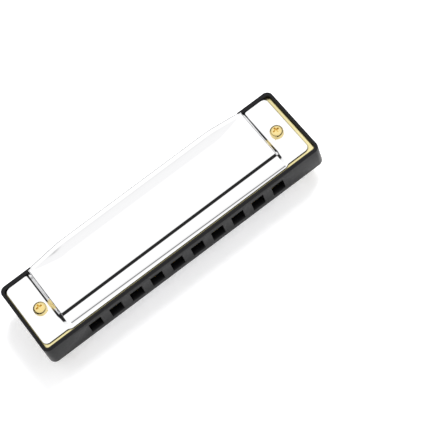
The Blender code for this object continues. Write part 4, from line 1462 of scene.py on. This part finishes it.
def reed_tree():
    """A reed from a flat grid: pad and tongue in plan, thinner towards the tip, with its rivet hole."""
    name = "graded reed"
    found = bpy.data.node_groups.get(name)
    if found:
        return found
    tree = new_tree(name, [
        ("Length", "NodeSocketFloat", 17 * MM),
        ("Tongue Width", "NodeSocketFloat", 2 * MM),
        ("Pad Width", "NodeSocketFloat", 2.9 * MM),
        ("Pad Length", "NodeSocketFloat", 3 * MM),
        ("Pad Corner", "NodeSocketFloat", 0.6 * MM),
        ("Thickness", "NodeSocketFloat", 0.25 * MM),
        ("Tip Thickness", "NodeSocketFloat", 0.13 * MM),
        ("Hole Radius", "NodeSocketFloat", 0.62 * MM),
        ("Material", "NodeSocketMaterial", None),
    ])
    given = add_node(tree, "NodeGroupInput").outputs
    grid = add_node(
        tree, "GeometryNodeMeshGrid", {"Size X": 1.0, "Vertices X": 9, "Vertices Y": 120},
        {"Size Y": given["Length"]},
    )
    place = add_node(tree, "GeometryNodeInputPosition")
    axes = add_node(tree, "ShaderNodeSeparateXYZ", links={"Vector": place.outputs["Position"]})
    half = add_node(tree, "ShaderNodeMath", {1: 0.5}, {0: given["Length"]}, operation="MULTIPLY")
    along = add_node(
        tree, "ShaderNodeMath", links={0: axes.outputs["Y"], 1: half.outputs["Value"]}, operation="ADD",
    )
    pad_half = add_node(tree, "ShaderNodeMath", {1: 0.5}, {0: given["Pad Length"]}, operation="MULTIPLY")
    from_rivet = add_node(
        tree, "ShaderNodeMath", links={0: along.outputs["Value"], 1: pad_half.outputs["Value"]},
        operation="SUBTRACT",
    )
    shoulder_end = add_node(
        tree, "ShaderNodeMath", {1: 0.25 * MM}, {0: given["Pad Length"]}, operation="ADD",
    )
    width = add_node(
        tree, "ShaderNodeMapRange",
        links={
            "Value": along.outputs["Value"],
            "From Min": given["Pad Length"],
            "From Max": shoulder_end.outputs["Value"],
            "To Min": given["Pad Width"],
            "To Max": given["Tongue Width"],
        },
        interpolation_type="SMOOTHSTEP",
    )
    corner = add_node(
        tree, "ShaderNodeMapRange", {"From Min": 0.0, "To Min": 0.72, "To Max": 1.0},
        {"Value": along.outputs["Value"], "From Max": given["Pad Corner"]},
        interpolation_type="SMOOTHERSTEP",
    )
    rounded = add_node(
        tree, "ShaderNodeMath", links={0: width.outputs["Result"], 1: corner.outputs["Result"]},
        operation="MULTIPLY",
    )
    across = add_node(
        tree, "ShaderNodeMath", links={0: axes.outputs["X"], 1: rounded.outputs["Value"]},
        operation="MULTIPLY",
    )
    flat = add_node(
        tree, "ShaderNodeCombineXYZ",
        links={"X": across.outputs["Value"], "Y": from_rivet.outputs["Value"]},
    )
    outline = add_node(
        tree, "GeometryNodeSetPosition",
        links={"Geometry": grid.outputs["Mesh"], "Position": flat.outputs["Vector"]},
    )
    milled = add_node(
        tree, "ShaderNodeMapRange",
        links={
            "Value": along.outputs["Value"],
            "From Min": shoulder_end.outputs["Value"],
            "From Max": given["Length"],
            "To Min": given["Thickness"],
            "To Max": given["Tip Thickness"],
        },
        interpolation_type="SMOOTHSTEP",
    )
    kept = add_node(
        tree, "GeometryNodeCaptureAttribute", links={"Geometry": outline.outputs["Geometry"]},
    )
    kept.capture_items.new("FLOAT", "depth")
    tree.links.new(milled.outputs["Result"], kept.inputs["depth"])
    raised = add_node(
        tree, "GeometryNodeExtrudeMesh", {"Offset Scale": 0.001 * MM, "Individual": False},
        {"Mesh": kept.outputs["Geometry"]}, mode="FACES",
    )
    down = add_node(
        tree, "ShaderNodeMath", {1: -1.0}, {0: kept.outputs["depth"]}, operation="MULTIPLY",
    )
    lower = add_node(tree, "ShaderNodeCombineXYZ", links={"Z": down.outputs["Value"]})
    bottom = add_node(
        tree, "GeometryNodeSetPosition",
        links={
            "Geometry": raised.outputs["Mesh"],
            "Selection": raised.outputs["Top"],
            "Offset": lower.outputs["Vector"],
        },
    )
    # The extruded faces now lie below the grid, so they are turned to face outwards.
    outward = add_node(tree, "GeometryNodeFlipFaces", links={"Mesh": bottom.outputs["Geometry"]})
    both = add_node(tree, "GeometryNodeJoinGeometry")
    tree.links.new(kept.outputs["Geometry"], both.inputs["Geometry"])
    tree.links.new(outward.outputs["Mesh"], both.inputs["Geometry"])
    closed = add_node(
        tree, "GeometryNodeMergeByDistance", {"Distance": 0.005 * MM}, {"Geometry": both.outputs["Geometry"]},
    )
    drill = add_node(
        tree, "GeometryNodeMeshCylinder", {"Vertices": 20, "Depth": 2 * MM}, {"Radius": given["Hole Radius"]},
    )
    drilled = add_node(
        tree, "GeometryNodeMeshBoolean",
        links={"Mesh 1": closed.outputs["Geometry"], "Mesh 2": drill.outputs["Mesh"]},
        operation="DIFFERENCE", solver="EXACT",
    )
    real = add_node(tree, "GeometryNodeRealizeInstances", links={"Geometry": drilled.outputs["Mesh"]})
    coated = add_node(
        tree, "GeometryNodeSetMaterial",
        links={"Geometry": real.outputs["Geometry"], "Material": given["Material"]},
    )
    add_node(tree, "NodeGroupOutput", links={"Geometry": coated.outputs["Geometry"]})
    return tree


class HARMONICA_OT_reeds(bpy.types.Operator):
    """Make the twenty graded reeds"""

    bl_idname = "harmonica.reeds"
    bl_label = "Reeds"

    def execute(self, context):
        sizes = context.scene.harmonica_reed
        brass = finish_of("milled spring brass", reed_material)
        for kind in ("blow", "draw"):
            for number in range(1, HOLES + 1):
                self.make_reed(f"{kind}_reed_{number:02d}", f"{kind}_rivet_{number:02d}", sizes, brass)
        return {"FINISHED"}

    def make_reed(self, node, rivet_node, sizes, brass):
        """One reed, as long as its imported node, pointing the way that the node points."""
        low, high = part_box(node)
        rivet = node_centre(rivet_node)
        reed = piece_from(bmesh.new(), node.replace("reed", "tongue"), brass)
        use_tree(reed, reed_tree(), {
            "Length": high.y - low.y, "Tongue Width": sizes.tongue_width, "Pad Width": sizes.pad_width,
            "Pad Length": sizes.pad_length, "Pad Corner": sizes.pad_corner, "Thickness": sizes.thickness,
            "Tip Thickness": sizes.tip_thickness, "Hole Radius": sizes.hole_radius, "Material": brass,
        })
        points_back = high.y - rivet.y < rivet.y - low.y
        turn = Matrix.Rotation(math.pi if points_back else 0.0, 4, "Z")
        reed.data.transform(Matrix.Translation((rivet.x, rivet.y, high.z)) @ turn)
        seat(reed, node, "reed_brass", node)


class HARMONICA_OT_stage(bpy.types.Operator):
    """Set the floor, the lamps, the surroundings and the camera"""

    bl_idname = "harmonica.stage"
    bl_label = "Stage"

    def execute(self, context):
        settings = context.scene.harmonica_stage
        self.lay_floor(settings)
        self.light(context.scene, settings)
        self.place_camera(context.scene, settings)
        context.scene.view_settings.view_transform = "Standard"
        return {"FINISHED"}

    def lay_floor(self, settings):
        """Round paper floor under the instrument."""
        shape = bmesh.new()
        outline = circle(Vector((0.0, 0.0)), settings.floor_radius, 96)
        shape.faces.new([shape.verts.new((x, y, CAD_LOW.z)) for x, y in outline])
        floor = piece_from(shape, "floor", finish_of("pale paper sweep", floor_material))

    def light(self, scene, settings):
        """White surroundings with a dark horizon, and one broad lamp above, behind and to the right."""
        world = bpy.data.worlds.new("white studio")
        scene.world = world
        world.use_nodes = True
        tree = world.node_tree
        back = tree.nodes["Background"]
        place = add_node(tree, "ShaderNodeTexCoord")
        axes = add_node(tree, "ShaderNodeSeparateXYZ", links={"Vector": place.outputs["Generated"]})
        # The room is darker low down, towards hole 1 and a little towards the mouth holes.
        squared = add_node(
            tree, "ShaderNodeMath", links={0: axes.outputs["Z"], 1: axes.outputs["Z"]},
            operation="MULTIPLY",
        )
        behind = add_node(
            tree, "ShaderNodeMath", links={0: axes.outputs["Y"], 1: squared.outputs["Value"]},
            operation="MULTIPLY",
        )
        gain = add_node(
            tree, "ShaderNodeMath", {1: settings.back_light, 2: 1.0}, {0: behind.outputs["Value"]},
            operation="MULTIPLY_ADD",
        )
        height = add_node(
            tree, "ShaderNodeMath", links={0: axes.outputs["Z"], 1: gain.outputs["Value"]},
            operation="MULTIPLY",
        )
        left = add_node(tree, "ShaderNodeMath", {1: 0.0}, {0: axes.outputs["X"]}, operation="MINIMUM")
        level = add_node(
            tree, "ShaderNodeMath", {1: settings.lean},
            {0: left.outputs["Value"], 2: height.outputs["Value"]}, operation="MULTIPLY_ADD",
        )
        ramp = add_node(tree, "ShaderNodeValToRGB", links={"Fac": level.outputs["Value"]})
        shades = ((17, 0.02), (27, 0.86), (34, 0.88), (46, 0.88), (54, 1.0))
        set_stops(ramp, [(math.sin(math.radians(angle)), shade) for angle, shade in shades])
        path = add_node(tree, "ShaderNodeLightPath")
        mix = add_node(
            tree, "ShaderNodeMix", data_type="RGBA",
            links={0: path.outputs["Is Camera Ray"], 6: ramp.outputs["Color"]},
        )
        mix.inputs[7].default_value = (1.0, 1.0, 1.0, 1.0)
        tree.links.new(mix.outputs[2], back.inputs["Color"])
        strength = add_node(
            tree, "ShaderNodeMapRange", {"To Min": settings.sky, "To Max": 1.0},
            {"Value": path.outputs["Is Camera Ray"]},
        )
        tree.links.new(strength.outputs["Result"], back.inputs["Strength"])
        lamp = bpy.data.lights.new("key", "AREA")
        lamp.shape = "DISK"
        lamp.size = settings.key_size
        lamp.energy = settings.key
        key = bpy.data.objects.new("key", lamp)
        key.location = settings.key_place
        key.rotation_mode = "QUATERNION"
        key.rotation_quaternion = Vector(key.location).to_track_quat("Z", "Y")
        key.visible_glossy = False
        scene.collection.objects.link(key)

    def place_camera(self, scene, settings):
        """Camera at the photograph's viewing angle."""
        data = bpy.data.cameras.new("camera")
        data.lens = settings.lens
        data.sensor_width = 36.0
        data.clip_start, data.clip_end = 0.01, 10.0
        camera = bpy.data.objects.new("camera", data)
        level = math.cos(settings.elevation)
        back = Vector((
            math.sin(settings.azimuth) * level, -math.cos(settings.azimuth) * level,
            math.sin(settings.elevation),
        ))
        side = back.cross(Vector((0.0, 0.0, 1.0))).normalized() * -1
        upright = back.cross(side)
        turn = Matrix((side, upright, back)).transposed() @ Matrix.Rotation(settings.roll, 3, "Z")
        camera.matrix_world = Matrix.Translation(settings.camera_place) @ turn.to_4x4()
        scene.collection.objects.link(camera)
        scene.camera = camera


class HARMONICA_PT_panel(bpy.types.Panel):
    """List the harmonica's operators and settings"""

    bl_idname = "HARMONICA_PT_panel"
    bl_label = "Harmonica"
    bl_space_type = "VIEW_3D"
    bl_region_type = "UI"
    bl_category = "Harmonica"

    def draw(self, context):
        column = self.layout.column()
        for operator in OPERATORS:
            column.operator(operator.bl_idname)
        for group in GROUPS:
            settings = getattr(context.scene, group)
            for name in settings.bl_rna.properties.keys():
                if name not in ("rna_type", "name"):
                    column.prop(settings, name)


GROUPS = {
    "harmonica_comb": HARMONICA_PG_comb,
    "harmonica_cover": HARMONICA_PG_cover,
    "harmonica_reed": HARMONICA_PG_reed,
    "harmonica_screw": HARMONICA_PG_screw,
    "harmonica_finish": HARMONICA_PG_finish,
    "harmonica_stage": HARMONICA_PG_stage,
}
OPERATORS = (
    HARMONICA_OT_comb, HARMONICA_OT_plates, HARMONICA_OT_reeds,
    HARMONICA_OT_fixings, HARMONICA_OT_covers, HARMONICA_OT_stage,
)


def register():
    for group in GROUPS.values():
        bpy.utils.register_class(group)
    for operator in OPERATORS:
        bpy.utils.register_class(operator)
    bpy.utils.register_class(HARMONICA_PT_panel)
    for name, group in GROUPS.items():
        setattr(bpy.types.Scene, name, PointerProperty(type=group))


def unregister():
    for name in GROUPS:
        delattr(bpy.types.Scene, name)
    bpy.utils.unregister_class(HARMONICA_PT_panel)
    for operator in reversed(OPERATORS):
        bpy.utils.unregister_class(operator)
    for group in reversed(list(GROUPS.values())):
        bpy.utils.unregister_class(group)


def main():
    register()
    for item in list(bpy.data.objects):
        if item.name in ("Cube", "Light", "Camera"):
            bpy.data.objects.remove(item, do_unlink=True)
    bpy.ops.harmonica.stage()
    bpy.ops.harmonica.comb()
    bpy.ops.harmonica.plates()
    bpy.ops.harmonica.reeds()
    bpy.ops.harmonica.fixings()
    bpy.ops.harmonica.covers()


if __name__ == "__main__":
    main()
